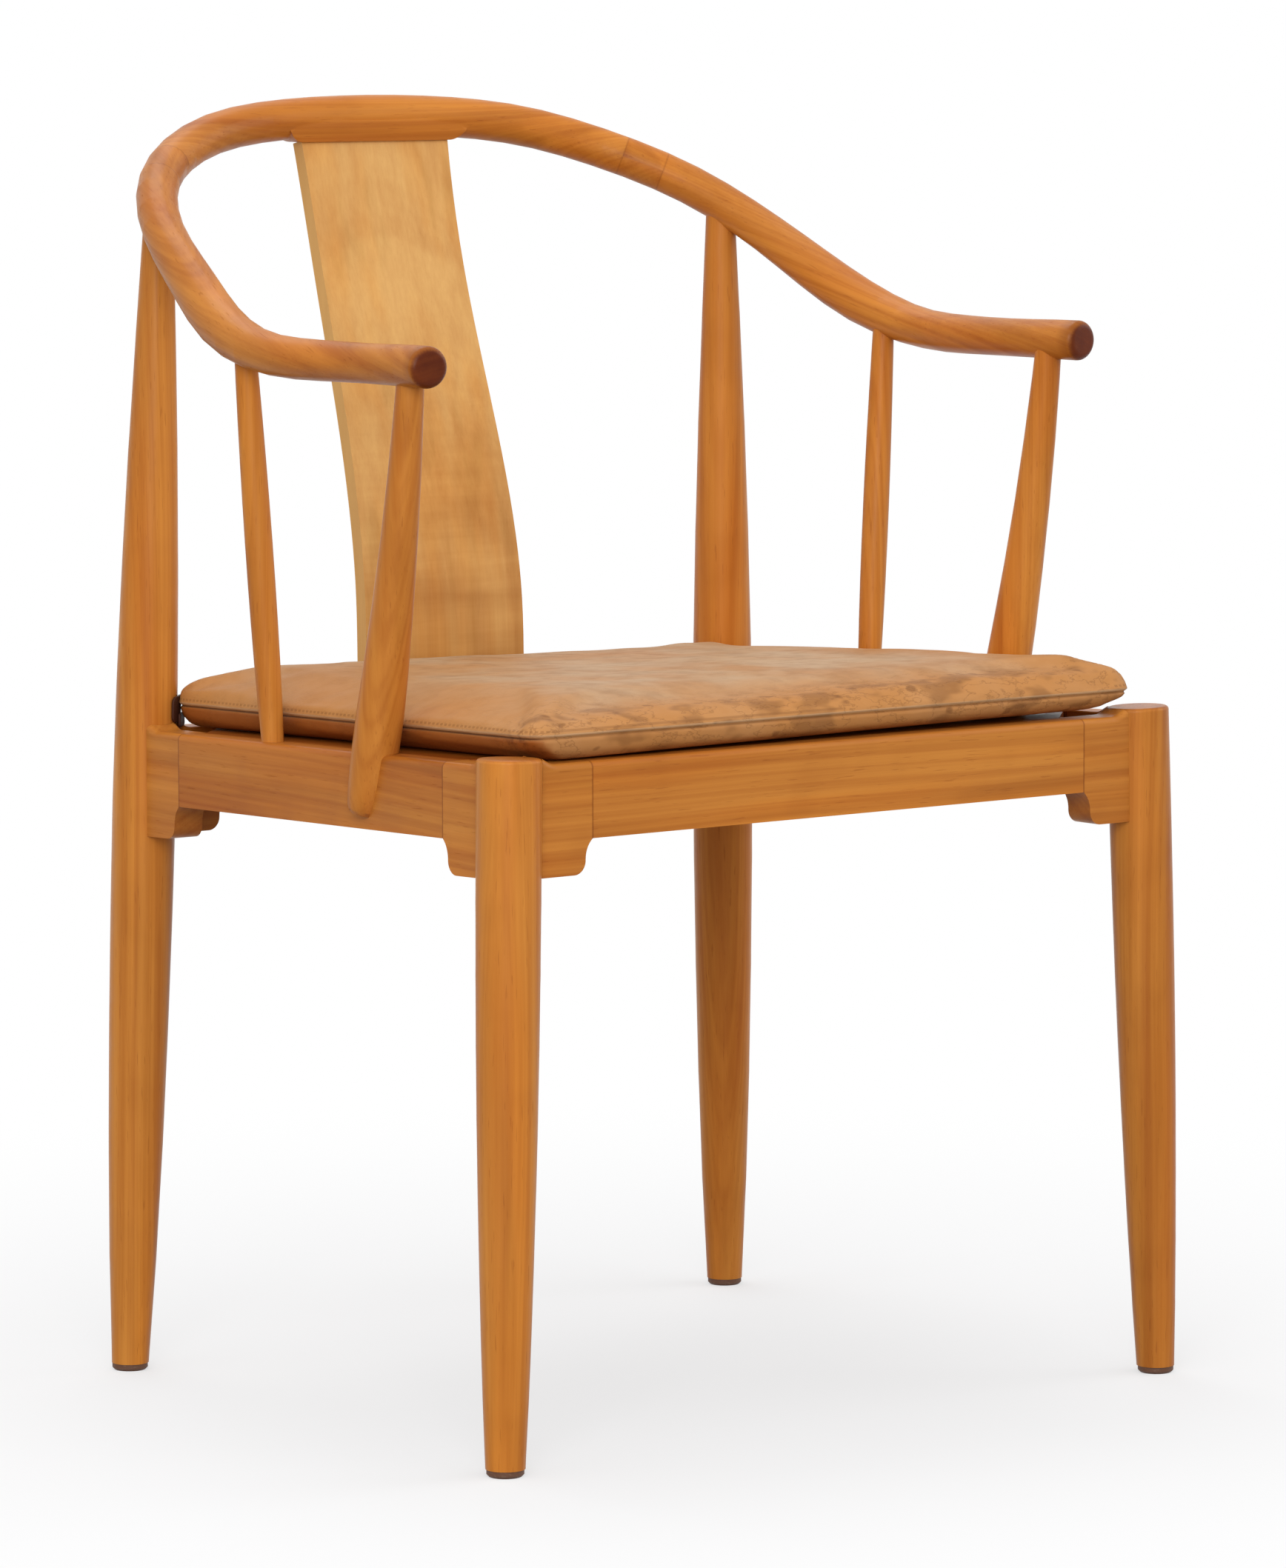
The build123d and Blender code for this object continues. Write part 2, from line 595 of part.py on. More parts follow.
# ---------------------------------------------------------------------------
# Arm posts, cushion, ties and feet
# ---------------------------------------------------------------------------
def post_line():
    """Bowed axis of the left arm post, from the side rail to the horseshoe rail's centreline."""
    top = rail_at_y(POST_TOP_Y)
    foot = Vector(side_axis_x(POST_FOOT_Y) + POST_STAND_OUT, POST_FOOT_Y, POST_FOOT_HEIGHT)
    head = Vector(top.X - POST_TOP_INSET, top.Y, top.Z)
    return ThreePointArc(foot, (foot + head) * 0.5 - Vector(0, POST_BOW, 0), head)


def make_post(course):
    """Tapering arm post, round all along."""
    sections = []
    for share, diameter in POST_PROFILE:
        across = Plane(origin=course @ share, x_dir=(1, 0, 0), z_dir=course % share)
        sections.append(across * Circle(diameter / 2))
    return loft(sections, ruled=True)


def inside_of_housing():
    """Space inside the bottom of the post's housing, up to the post's shoulder."""
    block = Box(REACH_ALL, REACH_ALL, REACH_ALL, align=(Align.CENTER, Align.CENTER, Align.MAX))
    inside = side_run.plane * (Pos(0, 0, SEAT_RAIL_THICKNESS / 2 - POST_HOUSING) * block)
    below_shoulder = seat_plane(POST_SHOULDER_GAP) * block
    return inside & below_shoulder


def post_screws():
    """Two screws from the side rail's inner face into the post's foot."""
    distance = (POST_FOOT_Y - front_seat[1]) / side_run.along.Y
    screws = []
    for below in POST_SCREW_HEIGHTS:
        spot = Vector(distance, side_run.top(distance) - below, -SEAT_RAIL_THICKNESS / 2)
        start = side_run.plane.from_local_coords(spot)
        screws.append(wood_screw(start, side_run.plane.z_dir, POST_SCREW_LENGTH))
    return screws


def cushion_outline(inset, height):
    """Plan of the cushion at a height above the seat: tapered, with cut and rounded corners."""
    front = CUSHION_FRONT_Y + inset
    back = SPLAT_SEAT_Y - SPLAT_THICKNESS / 2 - CUSHION_BACK_GAP - inset
    front_half = CUSHION_FRONT_HALF_WIDTH - inset
    back_half = CUSHION_BACK_HALF_WIDTH - inset
    half = [
        (front_half - CUSHION_FRONT_CORNER, front), (front_half, front + CUSHION_FRONT_CORNER),
        (back_half, back - CUSHION_BACK_CORNER), (back_half - CUSHION_BACK_CORNER, back),
    ]
    points = [seat_xy(*p) for p in half] + [seat_xy(-x, y) for x, y in reversed(half)]
    face = make_face(Polyline(*points, close=True))
    return seat_plane(height) * fillet(face.vertices(), CUSHION_CORNER_ROUNDING)


def make_cushion():
    """Plain closed solid of the cushion, widest at its seam."""
    layers = [
        (CUSHION_UNDERCUT, SOFT_GAP), (0.0, CUSHION_SEAM_HEIGHT),
        (CUSHION_SHOULDER, CUSHION_SHOULDER_HEIGHT), (CUSHION_CROWN, CUSHION_THICKNESS),
    ]
    return loft([cushion_outline(inset, height) for inset, height in layers], ruled=True)


def around_cushion():
    """Space of the cushion's lower part with the soft gap around it."""
    layers = [
        (CUSHION_UNDERCUT - SOFT_GAP, 0.0), (-SOFT_GAP, CUSHION_SEAM_HEIGHT),
        (CUSHION_SHOULDER - SOFT_GAP, CUSHION_SHOULDER_HEIGHT),
    ]
    return loft([cushion_outline(inset, height) for inset, height in layers], ruled=True)


def tie_plane(rise):
    """Plane in the left back leg's axis above the patch's lower edge, its X toward the cushion's corner."""
    height = seat_top(back_seat[1]) + TIE_ABOVE_RAIL + rise
    centre = Vector(*at_height(back_foot, back_head, height))
    return Plane(origin=centre, x_dir=(-1, -1, 0), z_dir=(0, 0, 1))


def make_tie():
    """Leather patch on the left back leg's inner side, its tongue beside the cushion's corner."""
    towards = (Align.MIN, Align.CENTER, Align.CENTER)
    inner = BACK_RADIUS + TIE_GAP
    around_leg = Plane(origin=back_foot, z_dir=leg_heading)
    sleeve = around_leg * (Cylinder(inner + TIE_THICKNESS, REACH_ALL) - Cylinder(inner, REACH_ALL))
    patch = tie_plane(TIE_PATCH_HEIGHT / 2) * Box(REACH_ALL, TIE_PATCH_WIDTH, TIE_PATCH_HEIGHT, align=towards)
    tongue = tie_plane(TIE_TONGUE_RISE) * Box(TIE_TONGUE_REACH, TIE_THICKNESS, TIE_TONGUE_HEIGHT, align=towards)
    tongue = tongue - around_leg * Cylinder(inner + TIE_THICKNESS / 2, REACH_ALL)
    pieces = (tongue - around_cushion()).solids()
    nearest = min(pieces, key=lambda piece: (piece.center() - tie_plane(0).origin).length)
    return (patch & sleeve) + nearest


def tie_nail():
    """Flat-headed nail through the left patch into the leg."""
    plane = tie_plane(TIE_NAIL_RISE)
    start = plane.origin + plane.x_dir * (BACK_RADIUS + TIE_GAP + TIE_THICKNESS)
    return countersunk(
        start, plane.x_dir * -1, TIE_NAIL_DIAMETER, TIE_NAIL_LENGTH, TIE_NAIL_HEAD_DIAMETER, TIE_NAIL_HEAD_HEIGHT,
    )


def glide(foot):
    disc = Cylinder(GLIDE_DIAMETER / 2, GLIDE_THICKNESS, align=(Align.CENTER, Align.CENTER, Align.MIN))
    disc = chamfer(disc.edges().filter_by(GeomType.CIRCLE).sort_by(Axis.Z)[0], GLIDE_EDGE)
    return Pos(foot[0], foot[1], 0) * disc


def glide_nail(foot):
    return countersunk(
        (foot[0], foot[1], NAIL_RECESS), (0, 0, 1), NAIL_DIAMETER, NAIL_LENGTH,
        NAIL_HEAD_DIAMETER, NAIL_HEAD_HEIGHT,
    )


# ---------------------------------------------------------------------------
# Build
# ---------------------------------------------------------------------------
nodes = {}


def keep_pair(name, left_shape):
    nodes[name + "_left"] = left_shape
    nodes[name + "_right"] = mirrored(left_shape)


bow = make_bow()

# Legs
FRONT_RADIUS = FRONT_LEG_PROFILE[-1][1] / 2
BACK_RADIUS = max(diameter for _, diameter in BACK_LEG_PROFILE) / 2
front_leg = turned(front_foot, front_head, FRONT_LEG_PROFILE)
front_leg = fillet(front_leg.edges().filter_by(GeomType.CIRCLE).sort_by(Axis.Z)[-1], LEG_TOP_ROUNDING)
back_leg = turned(back_foot, back_head, BACK_LEG_PROFILE)
front_heading = (Vector(*front_head) - Vector(*front_foot)).normalized()
front_cope = turned(front_foot, front_head, [(s, d + 2 * COPE_CLEARANCE) for s, d in FRONT_LEG_PROFILE])
front_cope = front_cope + rod(front_head, front_heading, 2 * (FRONT_RADIUS + COPE_CLEARANCE), SEAT_RAIL_HEIGHT)
back_cope = turned(back_foot, back_head, [(s, d + 2 * COPE_CLEARANCE) for s, d in BACK_LEG_PROFILE])
glide_layer = Box(REACH_ALL, REACH_ALL, 2 * GLIDE_THICKNESS)
leg_heading = (Vector(*back_head) - Vector(*back_foot)).normalized()
leg_peg = rod(Vector(*back_head) - leg_heading * PEG_ROOT, leg_heading, LEG_PEG_DIAMETER, PEG_ROOT + PEG_RISE)
front_leg = front_leg - glide_layer
back_leg = back_leg - glide_layer - bow + leg_peg

# Seat rails
rails = {"front": seat_rail(front_run), "side": seat_rail(side_run), "back": seat_rail(back_run)}

# Brackets, tenoned into the legs and grooved for the rails' tongues
front_tenon = leg_tenon(front_run, FRONT_RADIUS)
side_front_tenon = leg_tenon(side_run, FRONT_RADIUS)
side_back_tenon = leg_tenon(side_run.backward(), BACK_RADIUS)
back_tenon = leg_tenon(back_run, BACK_RADIUS)
front_bracket = bracket_board(front_run, FRONT_RADIUS) - front_cope + front_tenon - rails["front"]
side_bracket_front = bracket_board(side_run, FRONT_RADIUS) - front_cope + side_front_tenon - rails["side"]
side_bracket_back = bracket_board(side_run.backward(), BACK_RADIUS) - back_cope + side_back_tenon - rails["side"]
back_bracket = bracket_board(back_run, BACK_RADIUS) - back_cope + back_tenon - rails["back"]
front_leg = front_leg - front_tenon - side_front_tenon
back_leg = back_leg - side_back_tenon - back_tenon

# Splat and crest
splat = make_splat()
lap = arm_side()
crest = (bow + make_neck()) - lap - mirrored(lap) - splat
arm = (bow & lap) - leg_peg
rails["back"] = rails["back"] - splat

# Arm post, its foot housed in the outer face of the side rail
post_course = post_line()
post_head, post_heading = post_course @ 1, post_course % 1
post_peg = rod(post_head - post_heading * PEG_ROOT, post_heading, ARM_PEG_DIAMETER, PEG_ROOT + PEG_RISE)
post = make_post(post_course) - bow - inside_of_housing() + post_peg

# Arm spindle between the side rail's top edge and the horseshoe rail
panel = panel_board(0, 0)
spindle_top = rail_at_y(SPINDLE_TOP_Y)
spindle_foot = Vector(side_axis_x(SPINDLE_FOOT_Y), SPINDLE_FOOT_Y, seat_top(SPINDLE_FOOT_Y))
spindle_head = Vector(spindle_top.X - SPINDLE_TOP_INSET, spindle_top.Y, spindle_top.Z)
spindle_heading = (spindle_head - spindle_foot).normalized()
foot_peg = rod(
    spindle_foot - spindle_heading * SPINDLE_PEG_DEPTH, spindle_heading, ARM_PEG_DIAMETER,
    SPINDLE_PEG_DEPTH + PEG_ROOT,
)
head_peg = rod(spindle_head - spindle_heading * PEG_ROOT, spindle_heading, ARM_PEG_DIAMETER, PEG_ROOT + PEG_RISE)
spindle = turned(spindle_foot - spindle_heading, spindle_head, SPINDLE_PROFILE)
spindle = spindle - bow - rails["side"] - panel
spindle = spindle + foot_peg + head_peg
arm = arm - post_peg - head_peg
panel = panel - foot_peg - mirrored(foot_peg)
rails["side"] = rails["side"] - post - foot_peg

# Corner blocks with their screws
rebate = panel_board(PANEL_GAP, SEAT_RAIL_HEIGHT)
for name in rails:
    rails[name] = rails[name] - rebate
block_screws, panel_screws = [], []
for place, (axis_point, run_a, run_b) in zip(("front", "back"), seat_corners()):
    screws, pockets, panel_screw = block_fastenings(axis_point, run_a, run_b)
    block = corner_block(axis_point, run_a, run_b) - panel_screw
    for pocket in pockets:
        block = block - pocket
    for screw in screws:
        block = block - screw
        rails["side"] = rails["side"] - screw
        rails[place] = rails[place] - screw - mirrored(screw)
    keep_pair("corner_block_" + place, block)
    panel = panel - panel_screw - mirrored(panel_screw)
    block_screws += screws + [mirrored(screw) for screw in screws]
    panel_screws += [panel_screw, mirrored(panel_screw)]

# Post screws
screws_post = post_screws()
for screw in screws_post:
    rails["side"] = rails["side"] - screw
    post = post - screw

# Tie nails
nail_of_tie = tie_nail()
back_leg = back_leg - nail_of_tie

# Feet
glides, nails = [], []
feet = {}
for place, foot, leg in (("front", front_foot, front_leg), ("back", back_foot, back_leg)):
    nail = glide_nail(foot)
    recess = rod((foot[0], foot[1], 0), (0, 0, 1), NAIL_HEAD_DIAMETER, NAIL_RECESS)
    disc = glide(foot) - nail - recess
    feet[place] = leg - nail
    glides += [disc, mirrored(disc)]
    nails += [nail, mirrored(nail)]

# Nodes
nodes["crest_rail"] = crest
keep_pair("arm_rail", arm)
nodes["back_splat"] = splat
keep_pair("back_leg", feet["back"])
keep_pair("front_leg", feet["front"])
nodes["seat_rail_front"] = rails["front"]
nodes["seat_rail_back"] = rails["back"]
keep_pair("seat_rail", rails["side"])
keep_pair("front_bracket", front_bracket)
keep_pair("side_bracket_front", side_bracket_front)
keep_pair("side_bracket_back", side_bracket_back)
keep_pair("back_bracket", back_bracket)
keep_pair("arm_post", post)
keep_pair("arm_spindle", spindle)
nodes["seat_panel"] = panel
nodes["block_screws"] = Compound(children=block_screws)
nodes["panel_screws"] = Compound(children=panel_screws)
nodes["post_screws"] = Compound(children=screws_post + [mirrored(screw) for screw in screws_post])
nodes["foot_glides"] = Compound(children=glides)
nodes["glide_nails"] = Compound(children=nails)
nodes["seat_cushion"] = make_cushion()
keep_pair("cushion_tie", make_tie() - nail_of_tie)
nodes["tie_nails"] = Compound(children=[nail_of_tie, mirrored(nail_of_tie)])

os.makedirs("parts", exist_ok=True)
for name, shape in nodes.items():
    export_step(shape, "parts/" + name + ".step")
print(len(nodes), "nodes written")
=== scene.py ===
"""Look of the horseshoe back armchair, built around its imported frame.

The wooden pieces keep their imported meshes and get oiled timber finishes. The loose cushion is
replaced by a stuffed leather one with a sewn seam, made by simulation. All lengths are metres.
"""

import json
import logging
import math
from dataclasses import dataclass, field
from enum import Enum
from typing import Any, Iterable, Optional, Sequence, Union

import bmesh
import bpy
from mathutils import Matrix, Vector, noise

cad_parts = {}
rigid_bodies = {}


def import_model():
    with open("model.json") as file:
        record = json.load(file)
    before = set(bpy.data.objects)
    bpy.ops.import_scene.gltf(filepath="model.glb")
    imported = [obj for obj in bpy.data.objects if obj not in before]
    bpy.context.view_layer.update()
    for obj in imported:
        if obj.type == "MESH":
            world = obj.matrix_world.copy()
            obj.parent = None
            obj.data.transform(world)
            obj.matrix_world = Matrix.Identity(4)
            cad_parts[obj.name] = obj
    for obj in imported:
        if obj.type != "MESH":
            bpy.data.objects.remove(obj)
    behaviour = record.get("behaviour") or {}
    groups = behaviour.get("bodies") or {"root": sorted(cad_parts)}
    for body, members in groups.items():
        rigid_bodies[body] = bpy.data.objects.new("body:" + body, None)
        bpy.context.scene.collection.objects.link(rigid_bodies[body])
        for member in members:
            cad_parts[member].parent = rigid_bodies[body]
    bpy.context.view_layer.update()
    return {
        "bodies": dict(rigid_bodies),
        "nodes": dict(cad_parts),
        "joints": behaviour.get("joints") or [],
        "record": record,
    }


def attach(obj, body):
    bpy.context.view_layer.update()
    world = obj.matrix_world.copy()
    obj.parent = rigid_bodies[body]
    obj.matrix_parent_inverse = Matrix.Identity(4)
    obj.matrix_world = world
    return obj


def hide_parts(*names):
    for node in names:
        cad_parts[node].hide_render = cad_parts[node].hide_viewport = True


LOG = logging.getLogger("armchair")
Socket = bpy.types.NodeSocket
Value = Union[float, Sequence[float], Socket]
Piece = bpy.types.Object
Nodes = dict[str, Piece]
Body = bmesh.types.BMesh
Point = tuple[float, float, float]
Colour = tuple[float, float, float, float]
WHITE = (1.0, 1.0, 1.0, 1.0)
SIDES = ((1, "left"), (-1, "right"))


def linear(red: int, green: int, blue: int) -> Colour:
    """A display colour, with parts from 0 to 255, as Blender's linear one."""
    parts = [part / 255 for part in (red, green, blue)]
    return (*[p / 12.92 if p <= 0.04045 else ((p + 0.055) / 1.055) ** 2.4 for p in parts], 1.0)


def eased(share: float) -> float:
    """A share held between 0 and 1, with a soft start and stop."""
    share = min(1.0, max(0.0, share))
    return share * share * (3 - 2 * share)


def hang(name: str, data: bpy.types.ID) -> Piece:
    """Adds an object to the scene.

    Args:
        name: the object's name.
        data: its mesh, lamp or camera.

    Returns:
        The new object.
    """
    made = bpy.data.objects.new(name, data)
    bpy.context.scene.collection.objects.link(made)
    return made


def solid(body: Body, name: str) -> Piece:
    """Turns a finished body into an object.

    Args:
        body: the body, which is freed.
        name: the object's name.

    Returns:
        The new object.
    """
    mesh = bpy.data.meshes.new(name)
    body.to_mesh(mesh)
    body.free()
    return hang(name, mesh)


def shade_smooth(piece: Piece) -> None:
    """Shades all faces of a piece as one surface."""
    piece.data.polygons.foreach_set("use_smooth", [True] * len(piece.data.polygons))


def sliced(body: Body, point: Vector, normal: Vector, nearest: float) -> None:
    """Cuts a loop into a body where a plane meets it.

    Args:
        body: the body to cut.
        point, normal: the plane.
        nearest: distance within which a vertex counts as on the plane.
    """
    everything = body.verts[:] + body.edges[:] + body.faces[:]
    bmesh.ops.bisect_plane(body, geom=everything, dist=nearest, plane_co=point, plane_no=normal)


# Shader building


class Graph:
    """Adds nodes to a node tree and links them."""

    def __init__(self, tree: bpy.types.NodeTree) -> None:
        """Keeps the tree that the nodes go into."""
        self.tree = tree

    def feed(self, socket: Socket, value: Value) -> None:
        """Links a socket or sets its own value."""
        if isinstance(value, Socket):
            self.tree.links.new(value, socket)
        else:
            socket.default_value = value

    def add(self, kind: str, inputs: Optional[dict] = None, **settings: Any) -> bpy.types.Node:
        """Adds one node.

        Args:
            kind: Blender's name of the node type.
            inputs: values or sockets for its inputs, by name or number.
            settings: properties of the node.

        Returns:
            The new node.
        """
        node = self.tree.nodes.new(kind)
        for name, value in settings.items():
            setattr(node, name, value)
        for name, value in (inputs or {}).items():
            self.feed(node.inputs[name], value)
        return node

    def maths(self, operation: str, *values: Value, clamp: bool = False) -> Socket:
        """One Math node's result."""
        node = self.add("ShaderNodeMath", dict(enumerate(values)), operation=operation, use_clamp=clamp)
        return node.outputs[0]

    def times(self, first: Value, second: Value) -> Socket:
        """Two values multiplied."""
        return self.maths("MULTIPLY", first, second)

    def scaled(self, value: Value, rate: Value, start: Value) -> Socket:
        """A value multiplied by a rate and added to a start."""
        return self.maths("MULTIPLY_ADD", value, rate, start)

    def apart(self, first: Value, second: Value) -> Socket:
        """How far two values are from each other."""
        return self.maths("ABSOLUTE", self.maths("SUBTRACT", first, second))

    def vector(self, operation: str, *values: Value) -> Socket:
        """One Vector Math node's vector, or its number for a length or dot product."""
        node = self.add("ShaderNodeVectorMath", dict(enumerate(values)), operation=operation)
        return node.outputs["Value" if operation in ("LENGTH", "DOT_PRODUCT") else "Vector"]

    def axis(self, position: Value, name: str) -> Socket:
        """One part of a vector."""
        return self.add("ShaderNodeSeparateXYZ", {"Vector": position}).outputs[name]

    def object_place(self) -> Socket:
        """Object coordinates."""
        return self.add("ShaderNodeTexCoord").outputs["Object"]

    def noise(self, position: Value, stretch: Point, detail: float = 2.0, roughness: float = 0.5) -> Socket:
        """Noise between 0 and 1.

        Args:
            position: where it is read.
            stretch: waves per metre along each axis.
            detail: number of finer layers.
            roughness: strength of the finer layers.

        Returns:
            The noise's value.
        """
        place = self.vector("MULTIPLY", position, stretch)
        settings = {"Vector": place, "Scale": 1.0, "Detail": detail, "Roughness": roughness}
        return self.add("ShaderNodeTexNoise", settings).outputs["Fac"]

    def fit(
        self, value: Value, low: Value, high: Value, to_low: float = 0.0, to_high: float = 1.0
    ) -> Socket:
        """Carries a value smoothly from one range to another, held at its ends.

        Args:
            value: the value.
            low, high: the range that it is read in.
            to_low, to_high: the range that it is carried to.

        Returns:
            The carried value.
        """
        span = {"Value": value, "From Min": low, "From Max": high, "To Min": to_low, "To Max": to_high}
        return self.add("ShaderNodeMapRange", span, interpolation_type="SMOOTHSTEP").outputs["Result"]

    def blend(self, share: Value, first: Value, second: Value, mode: str = "MIX") -> Socket:
        """Mixes two colours.

        Args:
            share: how much there is of the second colour.
            first, second: the colours.
            mode: the way they mix.

        Returns:
            The mixed colour.
        """
        node = self.add("ShaderNodeMix", data_type="RGBA", blend_type=mode)
        for place, value in ((0, share), (6, first), (7, second)):
            self.feed(node.inputs[place], value)
        return node.outputs[2]

    def tint(self, colour: Value, mask: Value, amount: Value, other: Value) -> Socket:
        """A colour that turns into another by an amount where a mask is full."""
        return self.blend(self.times(mask, amount), colour, other)

    def shaded(self, colour: Value, by: Colour) -> Socket:
        """A colour multiplied by another."""
        return self.blend(1.0, colour, by, "MULTIPLY")

    def background_rays(self) -> Socket:
        """Rays that see the surround as a plain background."""
        path = self.add("ShaderNodeLightPath").outputs
        direct = self.maths("MAXIMUM", path["Is Camera Ray"], path["Is Transmission Ray"])
        return self.maths("MAXIMUM", direct, path["Is Glossy Ray"])


@dataclass(frozen=True)
class Marks:
    """Marks scattered over a surface, where a noise rises from one level to another."""

    stretch: Point
    low: float
    high: float
    detail: float = 2.0
    roughness: float = 0.5
    faint: float = 0.0
    full: float = 1.0

    def mask(self, graph: Graph, position: Value) -> Socket:
        """How marked each place is, from faint to full."""
        level = graph.noise(position, self.stretch, self.detail, self.roughness)
        return graph.fit(level, self.low, self.high, self.faint, self.full)


FLOAT = "NodeSocketFloat"
VECTOR = "NodeSocketVector"
COLOUR = "NodeSocketColor"


class SharedEffect:
    """A shader node group that several materials use, built once."""

    name = ""
    inputs: dict[str, str] = {}
    outputs: dict[str, str] = {}

    def wire(self, graph: Graph, given: Any) -> dict[str, Socket]:
        """Builds the group's nodes.

        Args:
            graph: the group's own tree.
            given: the group's inputs, by name.

        Returns:
            The socket for each output, by name.
        """
        raise NotImplementedError

    def tree(self) -> bpy.types.NodeTree:
        """The node group, built at its first use."""
        known = bpy.data.node_groups.get(self.name)
        if known is not None:
            return known
        tree = bpy.data.node_groups.new(self.name, "ShaderNodeTree")
        for way, sockets in (("INPUT", self.inputs), ("OUTPUT", self.outputs)):
            for label, kind in sockets.items():
                tree.interface.new_socket(name=label, in_out=way, socket_type=kind)
        graph = Graph(tree)
        graph.add("NodeGroupOutput", self.wire(graph, graph.add("NodeGroupInput").outputs))
        return tree

    def place(self, graph: Graph, **values: Value) -> Any:
        """Puts the group into a material.

        Args:
            graph: the material's tree.
            values: inputs by name, with underscores for spaces.

        Returns:
            The group node's outputs.
        """
        node = graph.add("ShaderNodeGroup", node_tree=self.tree())
        for label, value in values.items():
            graph.feed(node.inputs[label.replace("_", " ")], value)
        return node.outputs


class TimberFigure(SharedEffect):
    """Growth rings, fibre, pores and cross figure of a straight-grained board, fibres along Z."""

    name = "Timber figure"
    inputs = {
        "Position": VECTOR,
        "Early Wood": COLOUR,
        "Late Wood": COLOUR,
        "Ring Spacing": FLOAT,
        "Ring Strength": FLOAT,
        "Fibre Strength": FLOAT,
        "Cloud Strength": FLOAT,
        "Cross Figure": FLOAT,
        "Pore Strength": FLOAT,
    }
    outputs = {"Color": COLOUR, "Roughness": FLOAT, "Height": FLOAT}
    sway_rate: Point = (9.0, 9.0, 2.2)
    sway_reach: Point = (0.02, 0.02, 0.0)
    change_upward = 1.6
    late_wood = Marks((1.0, 1.0, 1.0), 0.34, 0.68, roughness=0.6)
    fibre_rate: Point = (620.0, 620.0, 9.0)
    streak_rate: Point = (110.0, 110.0, 2.6)
    streak_share = 1.9
    cloud_rate: Point = (15.0, 15.0, 3.0)
    cross_rate: Point = (22.0, 22.0, 210.0)
    middle_tone = 0.45
    glow = Marks((30.0, 30.0, 2.6), 0.42, 0.66)
    glow_share = 0.8
    ruddy: Colour = (1.0, 0.87, 0.66, 1.0)
    drift = Marks((52.0, 52.0, 2.4), 0.50, 0.70, roughness=0.55)
    drift_share = 0.6
    umber: Colour = (0.80, 0.76, 0.66, 1.0)
    pores = Marks((900.0, 900.0, 55.0), 0.66, 0.74, detail=1.0)
    pore: Colour = (0.62, 0.5, 0.42, 1.0)
    pore_depth = 0.8

    def rings(self, graph: Graph, position: Value, spacing: Value) -> Socket:
        """Growth rings round the log's heart, swayed and uneven.

        Args:
            graph: the group's tree.
            position: place in the log.
            spacing: mean width of a ring.

        Returns:
            The rings, 0 in early wood and 1 in late wood.
        """
        sway = graph.add("ShaderNodeTexNoise", {
            "Vector": graph.vector("MULTIPLY", position, self.sway_rate), "Scale": 1.0, "Detail": 1.0,
        })
        shift = graph.vector("SUBTRACT", sway.outputs["Color"], (0.5, 0.5, 0.5))
        swayed = graph.vector("ADD", position, graph.vector("MULTIPLY", shift, self.sway_reach))
        radius = graph.vector("LENGTH", graph.vector("MULTIPLY", swayed, (1.0, 1.0, 0.0)))
        year = graph.add("ShaderNodeCombineXYZ", {
            "X": graph.maths("DIVIDE", radius, spacing),
            "Y": graph.times(graph.axis(position, "Z"), self.change_upward),
        })
        return self.late_wood.mask(graph, year.outputs["Vector"])

    def wire(self, graph: Graph, given: Any) -> dict[str, Socket]:
        """Sums the layers of the figure and colours them.

        Args:
            graph: the group's own tree.
            given: the group's inputs, by name.

        Returns:
            The wood's colour, how rough its grain is and its fine height.
        """
        position = given["Position"]
        fibre = graph.noise(position, self.fibre_rate, 3.0, 0.6)
        streak = graph.noise(position, self.streak_rate, 2.0, 0.55)
        layers = (
            (self.rings(graph, position, given["Ring Spacing"]), given["Ring Strength"]),
            (fibre, given["Fibre Strength"]),
            (streak, graph.times(given["Fibre Strength"], self.streak_share)),
            (graph.noise(position, self.cloud_rate), given["Cloud Strength"]),
            (graph.noise(position, self.cross_rate), given["Cross Figure"]),
        )
        total: Value = self.middle_tone
        for layer, strength in layers:
            total = graph.scaled(graph.maths("SUBTRACT", layer, 0.5), strength, total)
        tone = graph.maths("ADD", total, 0.0, clamp=True)
        colour = graph.blend(tone, given["Early Wood"], given["Late Wood"])
        pores = self.pores.mask(graph, position)
        for mask, amount, other in (
            (self.glow.mask(graph, position), self.glow_share, self.ruddy),
            (self.drift.mask(graph, position), self.drift_share, self.umber),
            (pores, given["Pore Strength"], self.pore),
        ):
            colour = graph.tint(colour, mask, amount, graph.shaded(colour, other))
        return {
            "Color": colour,
            "Roughness": graph.scaled(fibre, 0.16, graph.scaled(pores, 0.12, -0.08)),
            "Height": graph.scaled(pores, -self.pore_depth, fibre),
        }


class EndGrain(SharedEffect):
    """Mask of faces that look along a direction, such as those cut across the fibres."""

    name = "End grain"
    inputs = {"Normal": VECTOR, "Fibre Direction": VECTOR}
    outputs = {"Mask": FLOAT}
    span = (0.42, 0.88)

    def wire(self, graph: Graph, given: Any) -> dict[str, Socket]:
        """Rises to 1 where the normal runs along the fibres."""
        along = graph.vector("DOT_PRODUCT", given["Normal"], given["Fibre Direction"])
        return {"Mask": graph.fit(graph.maths("ABSOLUTE", along), *self.span)}


